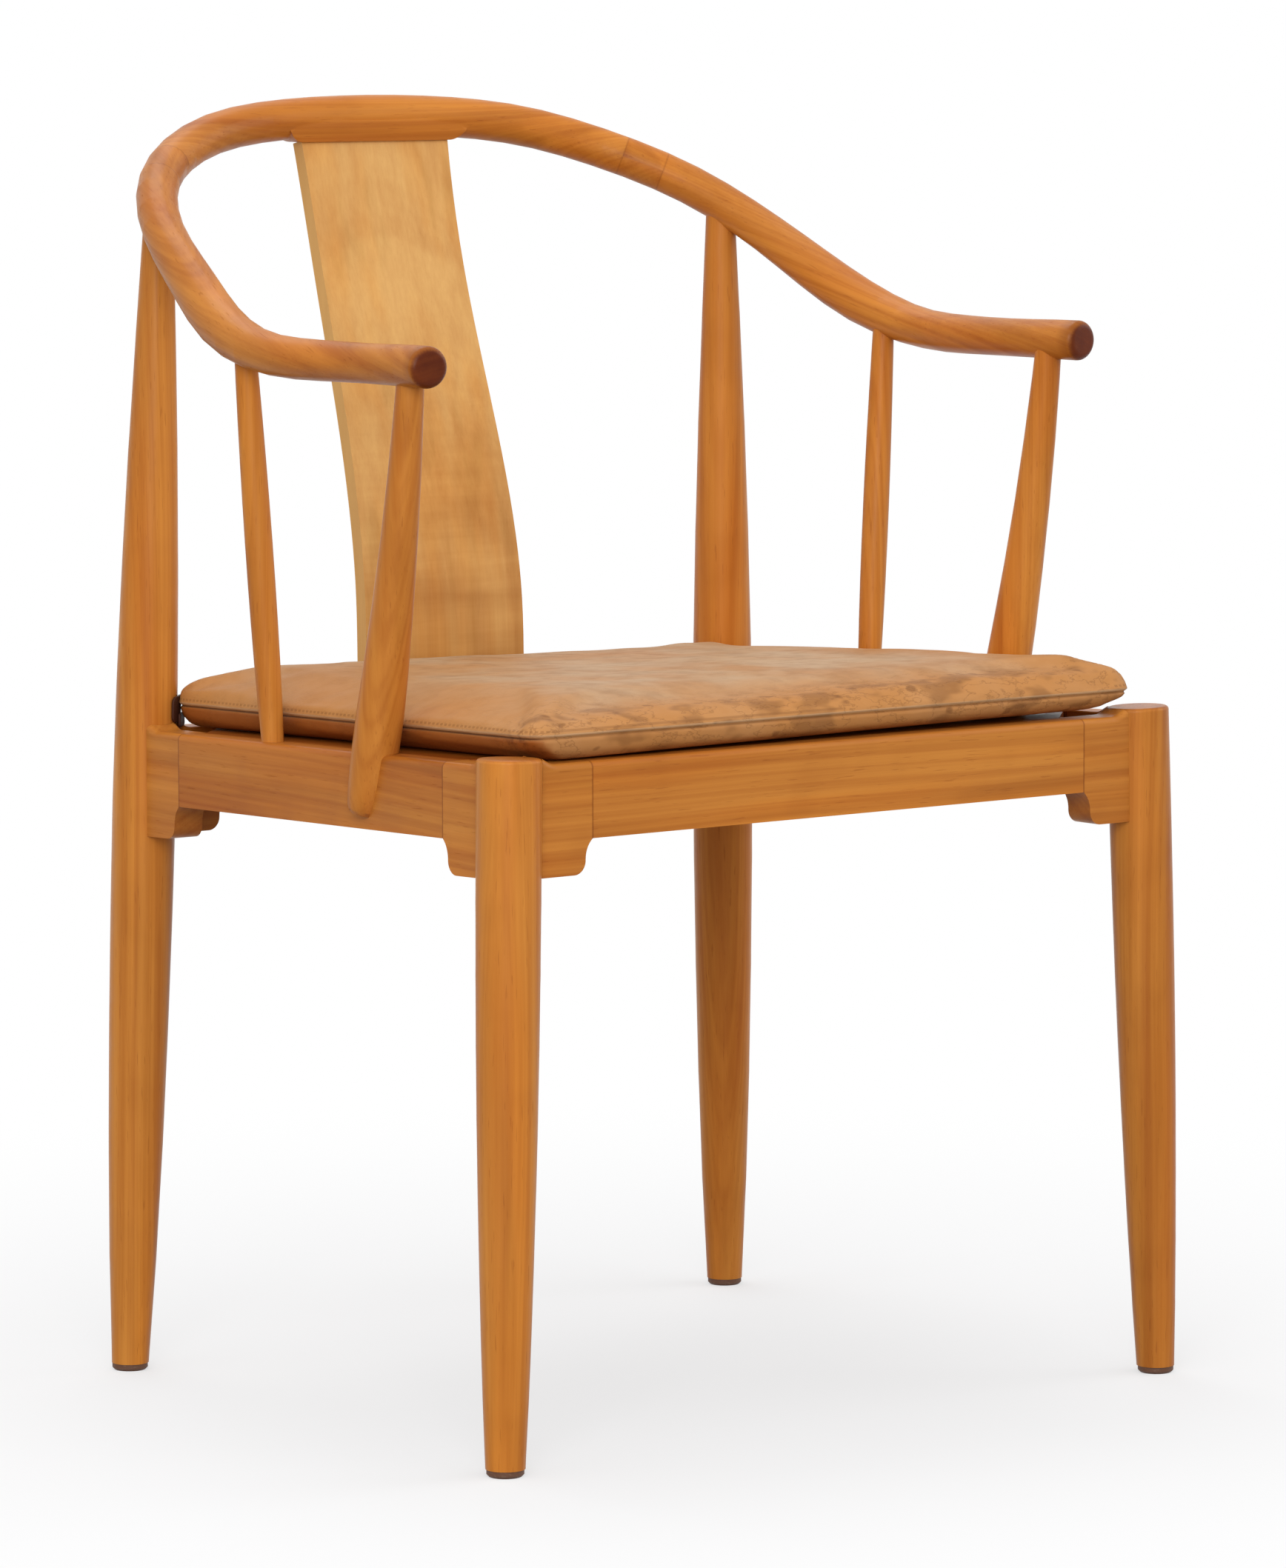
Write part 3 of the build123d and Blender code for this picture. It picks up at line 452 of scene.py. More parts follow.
class GlueLine(SharedEffect):
    """Line where a plane through a joint meets the surface."""

    name = "Glue line"
    inputs = {"Position": VECTOR, "Plane Normal": VECTOR, "Plane Distance": FLOAT, "Half Width": FLOAT}
    outputs = {"Mask": FLOAT}

    def wire(self, graph: Graph, given: Any) -> dict[str, Socket]:
        """Falls from 1 on the plane to 0 at the line's edge."""
        along = graph.vector("DOT_PRODUCT", given["Position"], given["Plane Normal"])
        share = graph.maths("DIVIDE", graph.apart(along, given["Plane Distance"]), given["Half Width"])
        return {"Mask": graph.maths("SUBTRACT", 1.0, share, clamp=True)}


class Handling(SharedEffect):
    """Uneven darkening and polish that hands and age leave."""

    name = "Handling"
    inputs = {"Position": VECTOR, "Patch Size": FLOAT, "Coverage": FLOAT}
    outputs = {"Mask": FLOAT, "Fine": FLOAT}
    softness = 0.12
    fine_rate = 6.0

    def wire(self, graph: Graph, given: Any) -> dict[str, Socket]:
        """Makes soft patches and a finer mottling.

        Args:
            graph: the group's own tree.
            given: the group's inputs, by name.

        Returns:
            The patches and the mottling.
        """
        place = graph.vector("SCALE", given["Position"])
        graph.feed(place.node.inputs["Scale"], graph.maths("DIVIDE", 1.0, given["Patch Size"]))
        soft = graph.add("ShaderNodeTexNoise", {"Vector": place, "Scale": 1.0, "Detail": 2.0})
        fine = graph.add("ShaderNodeTexNoise", {"Vector": place, "Scale": self.fine_rate, "Detail": 3.0})
        edge = graph.maths("SUBTRACT", 1.0, given["Coverage"])
        low = graph.maths("SUBTRACT", edge, self.softness)
        high = graph.maths("ADD", edge, self.softness)
        return {"Mask": graph.fit(soft.outputs["Fac"], low, high), "Fine": fine.outputs["Fac"]}


class LeatherGrain(SharedEffect):
    """Pebble and fine creases of hide."""

    name = "Leather grain"
    inputs = {"Position": VECTOR, "Pebble Size": FLOAT, "Crease Strength": FLOAT}
    outputs = {"Height": FLOAT, "Creases": FLOAT}
    crease_rate: Point = (38.0, 70.0, 70.0)
    crease_width = 0.022
    pebble_height = 0.35

    def wire(self, graph: Graph, given: Any) -> dict[str, Socket]:
        """Makes cells for the pebble and stretched ridges for the creases.

        Args:
            graph: the group's own tree.
            given: the group's inputs, by name.

        Returns:
            The hide's fine height and its creases.
        """
        place = graph.vector("SCALE", given["Position"])
        graph.feed(place.node.inputs["Scale"], graph.maths("DIVIDE", 1.0, given["Pebble Size"]))
        cells = graph.add("ShaderNodeTexVoronoi", {"Vector": place, "Scale": 1.0}, feature="SMOOTH_F1")
        ridge = graph.noise(given["Position"], self.crease_rate, 4.0, 0.62)
        crease = graph.fit(graph.apart(ridge, 0.5), 0.0, self.crease_width, 1.0, 0.0)
        pebble = graph.times(cells.outputs["Distance"], self.pebble_height)
        height = graph.maths("SUBTRACT", pebble, graph.times(crease, given["Crease Strength"]))
        return {"Height": height, "Creases": crease}


# Finishes


class Fibres(Enum):
    """Way the fibres run in a piece of timber."""

    UPRIGHT = (0.0, 0.0, 1.0)
    ACROSS = (1.0, 0.0, 0.0)
    FRONT_TO_BACK = (0.0, 1.0, 0.0)
    LEFT_ARM = (0.20, -0.935, -0.29)
    RIGHT_ARM = (-0.20, -0.935, -0.29)

    def direction(self) -> Vector:
        """Unit vector along the fibres."""
        return Vector(self.value).normalized()


@dataclass(frozen=True)
class JointPlane:
    """A plane in which a piece ends or two pieces meet, drawn as a dark line on the wood."""

    point: Point
    normal: Point
    depth: float = 0.8
    half_width: float = 0.0009

    def distance(self) -> float:
        """Distance of the plane from the origin along its normal."""
        return Vector(self.point).dot(Vector(self.normal).normalized())


def new_material(name: str) -> tuple[bpy.types.Material, Graph, bpy.types.Node]:
    """Makes a node material.

    Args:
        name: the material's name.

    Returns:
        The material, its graph and its output node.
    """
    material = bpy.data.materials.new(name)
    material.use_nodes = True
    material.node_tree.nodes.clear()
    graph = Graph(material.node_tree)
    return material, graph, graph.add("ShaderNodeOutputMaterial")


def dress(piece: Piece, material: bpy.types.Material) -> None:
    """Gives a piece one material in place of those it has."""
    if not piece.material_slots:
        piece.data.materials.append(material)
    for slot in piece.material_slots:
        slot.material = material


@dataclass(frozen=True)
class Surface:
    """Gloss and fine relief of a finish."""

    gloss: float = 0.5
    relief: float = 0.0
    relief_depth: float = 0.0
    metallic: float = 0.0

    def put_on(self, piece: Piece, made: tuple, colour: Value, rough: Value, height: Value = 0.0) -> None:
        """Completes a material and dresses a piece in it.

        Args:
            piece: the piece to dress.
            made: what new_material gave.
            colour: the surface's colour.
            rough: its roughness.
            height: its fine height, used where the finish has relief.
        """
        material, graph, output = made
        surface = graph.add("ShaderNodeBsdfPrincipled", {
            "Base Color": colour,
            "Roughness": rough,
            "Metallic": self.metallic,
            "Specular IOR Level": self.gloss,
        })
        if self.relief > 0.0:
            bump = graph.add("ShaderNodeBump", {
                "Height": height, "Strength": self.relief, "Distance": self.relief_depth,
            })
            graph.feed(surface.inputs["Normal"], bump.outputs["Normal"])
        graph.feed(output.inputs["Surface"], surface.outputs["BSDF"])
        dress(piece, material)


@dataclass(frozen=True)
class OiledTimber:
    """Solid timber with an oiled, hand-worn surface."""

    name: str
    early: Colour
    late: Colour
    ring_spacing: float = 0.0042
    ring_strength: float = 0.36
    fibre_strength: float = 0.34
    cloud_strength: float = 1.1
    cross_figure: float = 0.0
    figured_below: Optional[float] = None
    roughness: float = 0.36
    pore_strength: float = 0.4
    end_darkening: float = 0.35
    edge_painted_light: float = 0.0
    worn_share: float = 0.4
    worn_patch: float = 0.05
    worn_tone: float = 0.14
    worn_polish: float = 0.06
    board_turn: float = 2.4
    board_step: float = 0.37
    heart_away: float = 0.085
    heart_back: float = 0.02
    least_figure: float = 0.1
    figure_fade: tuple[float, float] = (0.08, -0.10)
    foot_fade: tuple[float, float] = (-0.06, -0.17)
    foot_tone_and_shade: float = 0.28
    low_patches: Marks = Marks((9.0, 9.0, 26.0), 0.35, 0.65, faint=0.05, full=0.40)
    wear_and_shade: Colour = (0.58, 0.44, 0.32, 1.0)
    soaked: Colour = (0.36, 0.17, 0.14, 1.0)
    glued: Colour = (0.42, 0.30, 0.22, 1.0)
    surface: Surface = Surface(gloss=0.14, relief=0.12, relief_depth=0.0004)

    def log_place(self, graph: Graph, position: Value, direction: Vector, board: int) -> Socket:
        """Place in the log that a board is cut from.

        Args:
            graph: the material's tree.
            position: object coordinates.
            direction: the way the fibres run.
            board: number of the board, which places the log's heart.

        Returns:
            The place, with the fibres along Z.
        """
        angle = self.board_turn * board
        x = self.heart_away * math.cos(angle)
        y = self.heart_away * math.sin(angle) + self.heart_back
        turn = direction.rotation_difference(Vector((0, 0, 1))).to_euler("XYZ")
        return graph.add("ShaderNodeMapping", {
            "Vector": position, "Rotation": tuple(turn), "Location": (x, y, self.board_step * board),
        }).outputs["Vector"]

    def low_figure(self, graph: Graph, position: Value, limit: float) -> tuple[Socket, Socket]:
        """Cross figure and darker patches that grow toward the foot of a board, and a darkening toward the
        foot that is partly painted shade.

        Args:
            graph: the material's tree.
            position: object coordinates.
            limit: height below which the board is figured.

        Returns:
            The strength of the cross figure and the darker tone, which is partly painted shade.
        """
        up = graph.axis(position, "Z")
        low = graph.fit(up, limit + self.figure_fade[0], limit + self.figure_fade[1])
        share = graph.scaled(low, 1.0 - self.least_figure, self.least_figure)
        patches = graph.times(low, self.low_patches.mask(graph, position))
        # Darker toward the foot of the board: partly the board's own tone, partly painted shade.
        foot = graph.fit(up, limit + self.foot_fade[0], limit + self.foot_fade[1], 0.0, self.foot_tone_and_shade)
        return graph.times(share, self.cross_figure), graph.maths("ADD", patches, foot)

    def apply(
        self,
        piece: Piece,
        fibres: Fibres,
        board: int,
        joints: Sequence[JointPlane] = (),
        tone: Value = 0.0,
        ends: Optional[float] = None,
    ) -> None:
        """Dresses a piece in this timber, cut from its own place in the log.

        Args:
            piece: the piece to dress.
            fibres: the way its fibres run.
            board: number of the board.
            joints: glue lines and soaked ends that show on it.
            tone: how much darker than the finish the board is; on some pieces this is painted shade.
            ends: how dark its end grain is, where that isn't the finish's own.
        """
        made = new_material(f"{self.name} {piece.name}")
        graph = made[1]
        direction = fibres.direction()
        position = graph.object_place()
        cross: Value = self.cross_figure
        if self.figured_below is not None:
            cross, tone = self.low_figure(graph, position, self.figured_below)
        figure = TimberFigure().place(
            graph,
            Position=self.log_place(graph, position, direction, board),
            Early_Wood=self.early,
            Late_Wood=self.late,
            Ring_Spacing=self.ring_spacing,
            Ring_Strength=self.ring_strength,
            Fibre_Strength=self.fibre_strength,
            Cloud_Strength=self.cloud_strength,
            Cross_Figure=cross,
            Pore_Strength=self.pore_strength,
        )
        colour = figure["Color"]
        worn = Handling().place(
            graph, Position=position, Patch_Size=self.worn_patch, Coverage=self.worn_share
        )["Mask"]
        # Handling wear darkens worn patches, and the tone darkens the board further; on some pieces that
        # tone is painted shade.
        share = graph.scaled(worn, self.worn_tone, tone)
        colour = graph.blend(share, colour, graph.shaded(colour, self.wear_and_shade))
        normal = graph.add("ShaderNodeNewGeometry").outputs["Normal"]
        # Painted light: faces that look across the board, such as the splat's side edges, are lightened
        # where the lamps leave them darker than the front.
        if self.edge_painted_light > 0.0:
            edge = EndGrain().place(graph, Normal=normal, Fibre_Direction=Fibres.ACROSS.value)
            colour = graph.tint(colour, edge["Mask"], self.edge_painted_light, self.early)
        cut = EndGrain().place(graph, Normal=normal, Fibre_Direction=tuple(direction))
        depth = self.end_darkening if ends is None else ends
        colour = graph.tint(colour, cut["Mask"], depth, graph.shaded(colour, self.soaked))
        for joint in joints:
            line = GlueLine().place(
                graph,
                Position=position,
                Plane_Normal=tuple(Vector(joint.normal).normalized()),
                Plane_Distance=joint.distance(),
                Half_Width=joint.half_width,
            )
            colour = graph.tint(colour, line["Mask"], joint.depth, graph.shaded(colour, self.glued))
        rough = graph.maths("ADD", figure["Roughness"], self.roughness)
        rough = graph.scaled(worn, -self.worn_polish, rough)
        self.surface.put_on(piece, made, colour, rough, figure["Height"])


@dataclass(frozen=True)
class AgedLeather:
    """Vegetable-tanned hide, mottled by use."""

    name: str
    pale: Colour
    warm: Colour
    stain: Colour
    seam: Colour
    lower_panel_shade: Colour = (0.60, 0.38, 0.20, 1.0)
    roughness: float = 0.5
    front_wear: tuple[float, float] = (-0.195, -0.04)
    side_wear: tuple[float, float] = (0.12, 0.22)
    wear_tone: float = 0.75
    patch_size: float = 0.085
    smear_size: float = 0.045
    smear_tone: float = 0.25
    wiped: Marks = Marks((26.0, 7.0, 26.0), 0.42, 0.70, 3.0, 0.6)
    wiped_tone: float = 0.12
    smudges: Marks = Marks((34.0, 60.0, 60.0), 0.50, 0.68, roughness=0.55)
    spots: Marks = Marks((70.0, 90.0, 90.0), 0.64, 0.74, detail=1.0)
    pebble: float = 0.0017
    crease_depth: float = 0.5
    sewn: bool = False
    stitch: float = 0.0042
    stitch_tone: float = 0.4
    welt_rise: float = 0.0016
    welt_highlight: float = 0.4
    row_rise: float = 0.0042
    surface: Surface = Surface(gloss=0.16, relief=0.35, relief_depth=0.0006)

    def sewing(self, graph: Graph, colour: Value) -> Socket:
        """Painted shade on the lower panel, a painted highlight along the welt, the seam's line and the
        stitches over it.

        Args:
            graph: the material's graph.
            colour: the hide's colour.

        Returns:
            The hide's colour with its sewing.
        """
        rise, along, side = (
            graph.add("ShaderNodeAttribute", attribute_name=name).outputs["Fac"]
            for name in ("rise", "along", "side")
        )
        # Painted shade on the lower panel below the seam, full on the side faces and faint on the front.
        under = graph.fit(rise, 0.0006, -0.0016)
        lower = graph.shaded(colour, self.lower_panel_shade)
        colour = graph.tint(colour, under, graph.fit(side, 0.1, 0.9, 0.12, 1.0), lower)
        # Painted highlight along the welt, just above the seam.
        welt = graph.fit(graph.apart(rise, self.welt_rise), 0.0012, 0.0004)
        colour = graph.tint(colour, welt, self.welt_highlight, self.pale)
        line = graph.fit(graph.maths("ABSOLUTE", rise), 0.0010, 0.0002)
        colour = graph.tint(colour, line, graph.fit(side, 0.1, 0.9, 0.3, 0.85), self.seam)
        step = graph.maths("FRACT", graph.maths("DIVIDE", along, self.stitch))
        dash = graph.fit(graph.apart(step, 0.5), 0.34, 0.26)
        row = graph.fit(graph.apart(rise, self.row_rise), 0.0010, 0.0004)
        return graph.tint(colour, graph.times(dash, row), self.stitch_tone, self.stain)

    def apply(self, piece: Piece) -> None:
        """Dresses a piece in this leather.

        Args:
            piece: the piece to dress.
        """
        made = new_material(f"{self.name} {piece.name}")
        graph = made[1]
        position = graph.object_place()
        patches = Handling().place(graph, Position=position, Patch_Size=self.patch_size, Coverage=0.5)
        smears = Handling().place(graph, Position=position, Patch_Size=self.smear_size, Coverage=0.42)
        grain = LeatherGrain().place(
            graph, Position=position, Pebble_Size=self.pebble, Crease_Strength=self.crease_depth
        )
        colour = graph.blend(graph.scaled(patches["Mask"], 0.45, 0.34), self.warm, self.pale)
        colour = graph.tint(colour, smears["Mask"], self.smear_tone, self.warm)
        colour = graph.tint(colour, self.wiped.mask(graph, position), self.wiped_tone, self.stain)
        colour = graph.blend(graph.fit(patches["Fine"], 0.40, 0.78, 0.0, 0.26), colour, self.stain)
        start, reach = self.front_wear
        near_front = graph.fit(graph.axis(position, "Y"), start, start + reach)
        near_side = graph.fit(graph.maths("ABSOLUTE", graph.axis(position, "X")), *self.side_wear)
        edges = graph.maths("MAXIMUM", near_front, near_side)
        colour = graph.tint(colour, edges, self.wear_tone, self.warm)
        for marks, at_front, elsewhere in (
            (self.smudges.mask(graph, position), 0.48, 0.05),
            (self.spots.mask(graph, position), 0.6, 0.03),
            (grain["Creases"], 0.34, 0.06),
        ):
            amount = graph.scaled(near_front, at_front, elsewhere)
            colour = graph.tint(colour, marks, amount, self.stain)
        if self.sewn:
            colour = self.sewing(graph, colour)
        rough = graph.scaled(patches["Fine"], 0.18, self.roughness)
        self.surface.put_on(piece, made, colour, rough, grain["Height"])


@dataclass(frozen=True)
class PlainMetal:
    """Plated steel of screws and nails."""

    name: str
    colour: Colour
    dull: Colour = (0.25, 0.24, 0.22, 1.0)
    dull_share: float = 0.3
    roughness: float = 0.25

    def apply(self, piece: Piece) -> None:
        """Dresses a piece in this metal.

        Args:
            piece: the piece to dress.
        """
        made = new_material(self.name)
        graph = made[1]
        marks = graph.noise(graph.object_place(), (900.0, 900.0, 900.0), 3.0, 0.6)
        colour = graph.blend(graph.times(marks, self.dull_share), self.colour, self.dull)
        Surface(metallic=1.0).put_on(piece, made, colour, graph.scaled(marks, 0.2, self.roughness))


@dataclass(frozen=True)
class MattPlastic:
    """Moulded plastic of the foot glides."""

    name: str
    colour: Colour
    scuffed: Colour = (0.30, 0.22, 0.15, 1.0)
    scuffed_share: float = 0.35
    roughness: float = 0.45

    def apply(self, piece: Piece) -> None:
        """Dresses a piece in this plastic.

        Args:
            piece: the piece to dress.
        """
        made = new_material(self.name)
        graph = made[1]
        scuffs = graph.noise(graph.object_place(), (500.0, 500.0, 900.0), 4.0, 0.6)
        share = graph.fit(scuffs, 0.5, 0.8, 0.0, self.scuffed_share)
        colour = graph.blend(share, self.colour, self.scuffed)
        Surface().put_on(piece, made, colour, graph.scaled(scuffs, 0.3, self.roughness))


FRAME_TIMBER = OiledTimber("Oiled frame timber", early=linear(209, 138, 59), late=linear(167, 93, 31))
SPLAT_TIMBER = OiledTimber(
    "Oiled splat timber",
    early=linear(221, 173, 105),
    late=linear(192, 134, 71),
    ring_spacing=0.009,
    ring_strength=0.26,
    fibre_strength=0.44,
    cloud_strength=0.24,
    cross_figure=0.44,
    figured_below=0.62,
    roughness=0.42,
    pore_strength=0.10,
    edge_painted_light=0.7,
    worn_share=0.25,
)
INNER_TIMBER = OiledTimber(
    "Sanded inner timber", early=linear(190, 132, 74), late=linear(156, 100, 50), roughness=0.6
)
CUSHION_LEATHER = AgedLeather(
    "Cushion leather",
    pale=linear(189, 161, 129),
    warm=linear(183, 123, 62),
    stain=linear(120, 76, 38),
    seam=linear(74, 38, 18),
    sewn=True,
)
STRAP_LEATHER = AgedLeather(
    "Strap leather",
    pale=linear(84, 50, 34),
    warm=linear(66, 36, 24),
    stain=linear(38, 20, 14),
    seam=linear(30, 16, 10),
    roughness=0.45,
)
SCREW_STEEL = PlainMetal("Plated steel", colour=(0.62, 0.60, 0.56, 1.0))
GLIDE_PLASTIC = MattPlastic("Dark glide", colour=linear(92, 56, 34))


# Timber sub-assemblies


def smooth_turning(piece: Piece, sharpest_deg: float = 24.0) -> None:
    """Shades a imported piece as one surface, split only at its real edges.

    Args:
        piece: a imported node, made of loose triangles face by face.
        sharpest_deg: angle above which an edge stays sharp.
    """
    weld = piece.modifiers.new("Weld", "WELD")
    weld.merge_threshold = 0.00001
    split = piece.modifiers.new("Split", "EDGE_SPLIT")
    split.split_angle = math.radians(sharpest_deg)
    split.use_edge_sharp = False
    weighted = piece.modifiers.new("Shade", "WEIGHTED_NORMAL")
    weighted.mode = "FACE_AREA"
    weighted.keep_sharp = False


@dataclass
class HorseshoeRail:
    """The bow: crest and two arms, scarfed together."""

    nodes: Nodes
    scarf_point: Point = (0.186114, 0.20994, 0.777399)
    scarf_along: Point = (0.747475, -0.567262, -0.345681)
    scarf_length: float = 0.029
    scarf_depth: float = 0.4
    arm_end: Point = (0.2600, -0.1757, 0.6640)
    arm_heading: Point = (0.0767, -0.9943, 0.0737)
    soaked_length: float = 0.013
    arm_ends: float = 0.9
    crest_sharpest: float = 62.0

    def scarf_planes(self, side: int) -> list[JointPlane]:
        """Upper and lower butt lines of one scarf.

        Args:
            side: +1 for the left, -1 for the right.

        Returns:
            The two planes.
        """
        upper = Vector((side * self.scarf_point[0], self.scarf_point[1], self.scarf_point[2]))
        along = Vector((side * self.scarf_along[0], self.scarf_along[1], self.scarf_along[2])).normalized()
        lower = upper + along * self.scarf_length
        return [JointPlane(tuple(place), tuple(along), self.scarf_depth) for place in (upper, lower)]

    def soaked_end(self, side: int) -> JointPlane:
        """The end of an arm, where the wood drinks more oil."""
        point = (side * self.arm_end[0], self.arm_end[1], self.arm_end[2])
        heading = (side * self.arm_heading[0], self.arm_heading[1], self.arm_heading[2])
        return JointPlane(point, heading, half_width=self.soaked_length)

    def build(self) -> None:
        """Dresses the three pieces."""
        both = self.scarf_planes(1) + self.scarf_planes(-1)
        FRAME_TIMBER.apply(self.nodes["crest_rail"], Fibres.ACROSS, 3, both, tone=0.02)
        smooth_turning(self.nodes["crest_rail"], self.crest_sharpest)
        arms = (("left", 1, Fibres.LEFT_ARM, 5, 0.06), ("right", -1, Fibres.RIGHT_ARM, 8, 0.22))
        for name, side, fibres, board, tone in arms:
            arm = self.nodes["arm_rail_" + name]
            joints = self.scarf_planes(side) + [self.soaked_end(side)]
            FRAME_TIMBER.apply(arm, fibres, board, joints, tone, ends=self.arm_ends)
            smooth_turning(arm)
        LOG.info("horseshoe rail dressed, 3 pieces")


@dataclass
class BackSplat:
    """The thin shaped board of the back."""

    nodes: Nodes

    def build(self) -> None:
        """Dresses the board."""
        SPLAT_TIMBER.apply(self.nodes["back_splat"], Fibres.UPRIGHT, 11)
        smooth_turning(self.nodes["back_splat"])
        LOG.info("splat dressed")


@dataclass
class TurnedSupports:
    """Legs, arm posts and arm spindles, each with its board's number and tone."""

    nodes: Nodes
    boards: dict[str, tuple[int, float]] = field(default_factory=lambda: {
        "front_leg_left": (2, 0.22),
        "front_leg_right": (4, 0.0),
        "back_leg_left": (19, 0.0),
        "back_leg_right": (7, 0.0),
        "arm_post_left": (9, 0.0),
        "arm_post_right": (10, 0.06),
        "arm_spindle_left": (12, 0.05),
        "arm_spindle_right": (13, 0.04),
    })

    def build(self) -> None:
        """Dresses each support in its own board of timber."""
        for name, (board, tone) in self.boards.items():
            FRAME_TIMBER.apply(self.nodes[name], Fibres.UPRIGHT, board, tone=tone)
            smooth_turning(self.nodes[name])
        LOG.info("turned supports dressed, %d pieces", len(self.boards))


@dataclass
class SeatFrame:
    """Seat rails with their brackets, the panel and the corner blocks."""

    nodes: Nodes
    front_corner: Point = (0.2524, -0.2387, 0.428)
    back_corner: Point = (0.23774, 0.16662, 0.4178)
    bracket_reach: float = 0.055

    def side_planes(self, side: int) -> list[JointPlane]:
        """Upright joints between a side rail and its two brackets.

        Args:
            side: +1 for the left, -1 for the right.

        Returns:
            The front plane and the back one.
        """
        front = Vector((side * self.front_corner[0], self.front_corner[1], 0.0))
        back = Vector((side * self.back_corner[0], self.back_corner[1], 0.0))
        along = (back - front).normalized()
        near = front + along * self.bracket_reach
        far = back - along * self.bracket_reach
        return [JointPlane(tuple(near), tuple(along)), JointPlane(tuple(far), tuple(along))]

    def cross_planes(self, corner: Point) -> list[JointPlane]:
        """Upright joints between a front or back rail and its two brackets."""
        place = corner[0] - self.bracket_reach
        return [JointPlane((x, corner[1], 0.0), (1.0, 0.0, 0.0)) for x in (place, -place)]

    def build(self) -> None:
        """Dresses rails, brackets, panel and blocks."""
        front, back = self.cross_planes(self.front_corner), self.cross_planes(self.back_corner)
        across, lengthwise = Fibres.ACROSS, Fibres.FRONT_TO_BACK
        boards = [
            ("seat_rail_front", across, 14, front, 0.2),
            # The back rail's tone is painted shade under the seat.
            ("seat_rail_back", across, 15, back, 0.2),
        ]
        for side, name in SIDES:
            joints = self.side_planes(side)
            boards += [
                ("seat_rail_" + name, lengthwise, 16 + side, joints, 0.30 if side < 0 else 0.15),
                ("front_bracket_" + name, across, 20 + side, front, 0.2),
                # The back brackets' darker tone is painted shade under the seat.
                ("back_bracket_" + name, across, 23 + side, back, 0.4),
                ("side_bracket_front_" + name, lengthwise, 26 + side, joints, 0.12),
                ("side_bracket_back_" + name, lengthwise, 29 + side, joints, 0.12),
            ]
            INNER_TIMBER.apply(self.nodes["corner_block_front_" + name], across, 31)
            INNER_TIMBER.apply(self.nodes["corner_block_back_" + name], across, 34)
        for name, fibres, board, joints, tone in boards:
            FRAME_TIMBER.apply(self.nodes[name], fibres, board, joints, tone)
            smooth_turning(self.nodes[name])
        # The seat panel is darkened heavily: painted shade for the gap seen under the cushion.
        FRAME_TIMBER.apply(self.nodes["seat_panel"], lengthwise, 33, tone=0.9)
        LOG.info("seat frame dressed")


@dataclass
class SmallParts:
    """Screws, nails and foot glides."""

    nodes: Nodes

    def build(self) -> None:
        """Dresses the fixings and the feet."""
        for name in ("block_screws", "panel_screws", "post_screws", "glide_nails", "tie_nails"):
            SCREW_STEEL.apply(self.nodes[name])
        GLIDE_PLASTIC.apply(self.nodes["foot_glides"])
        LOG.info("small parts dressed")


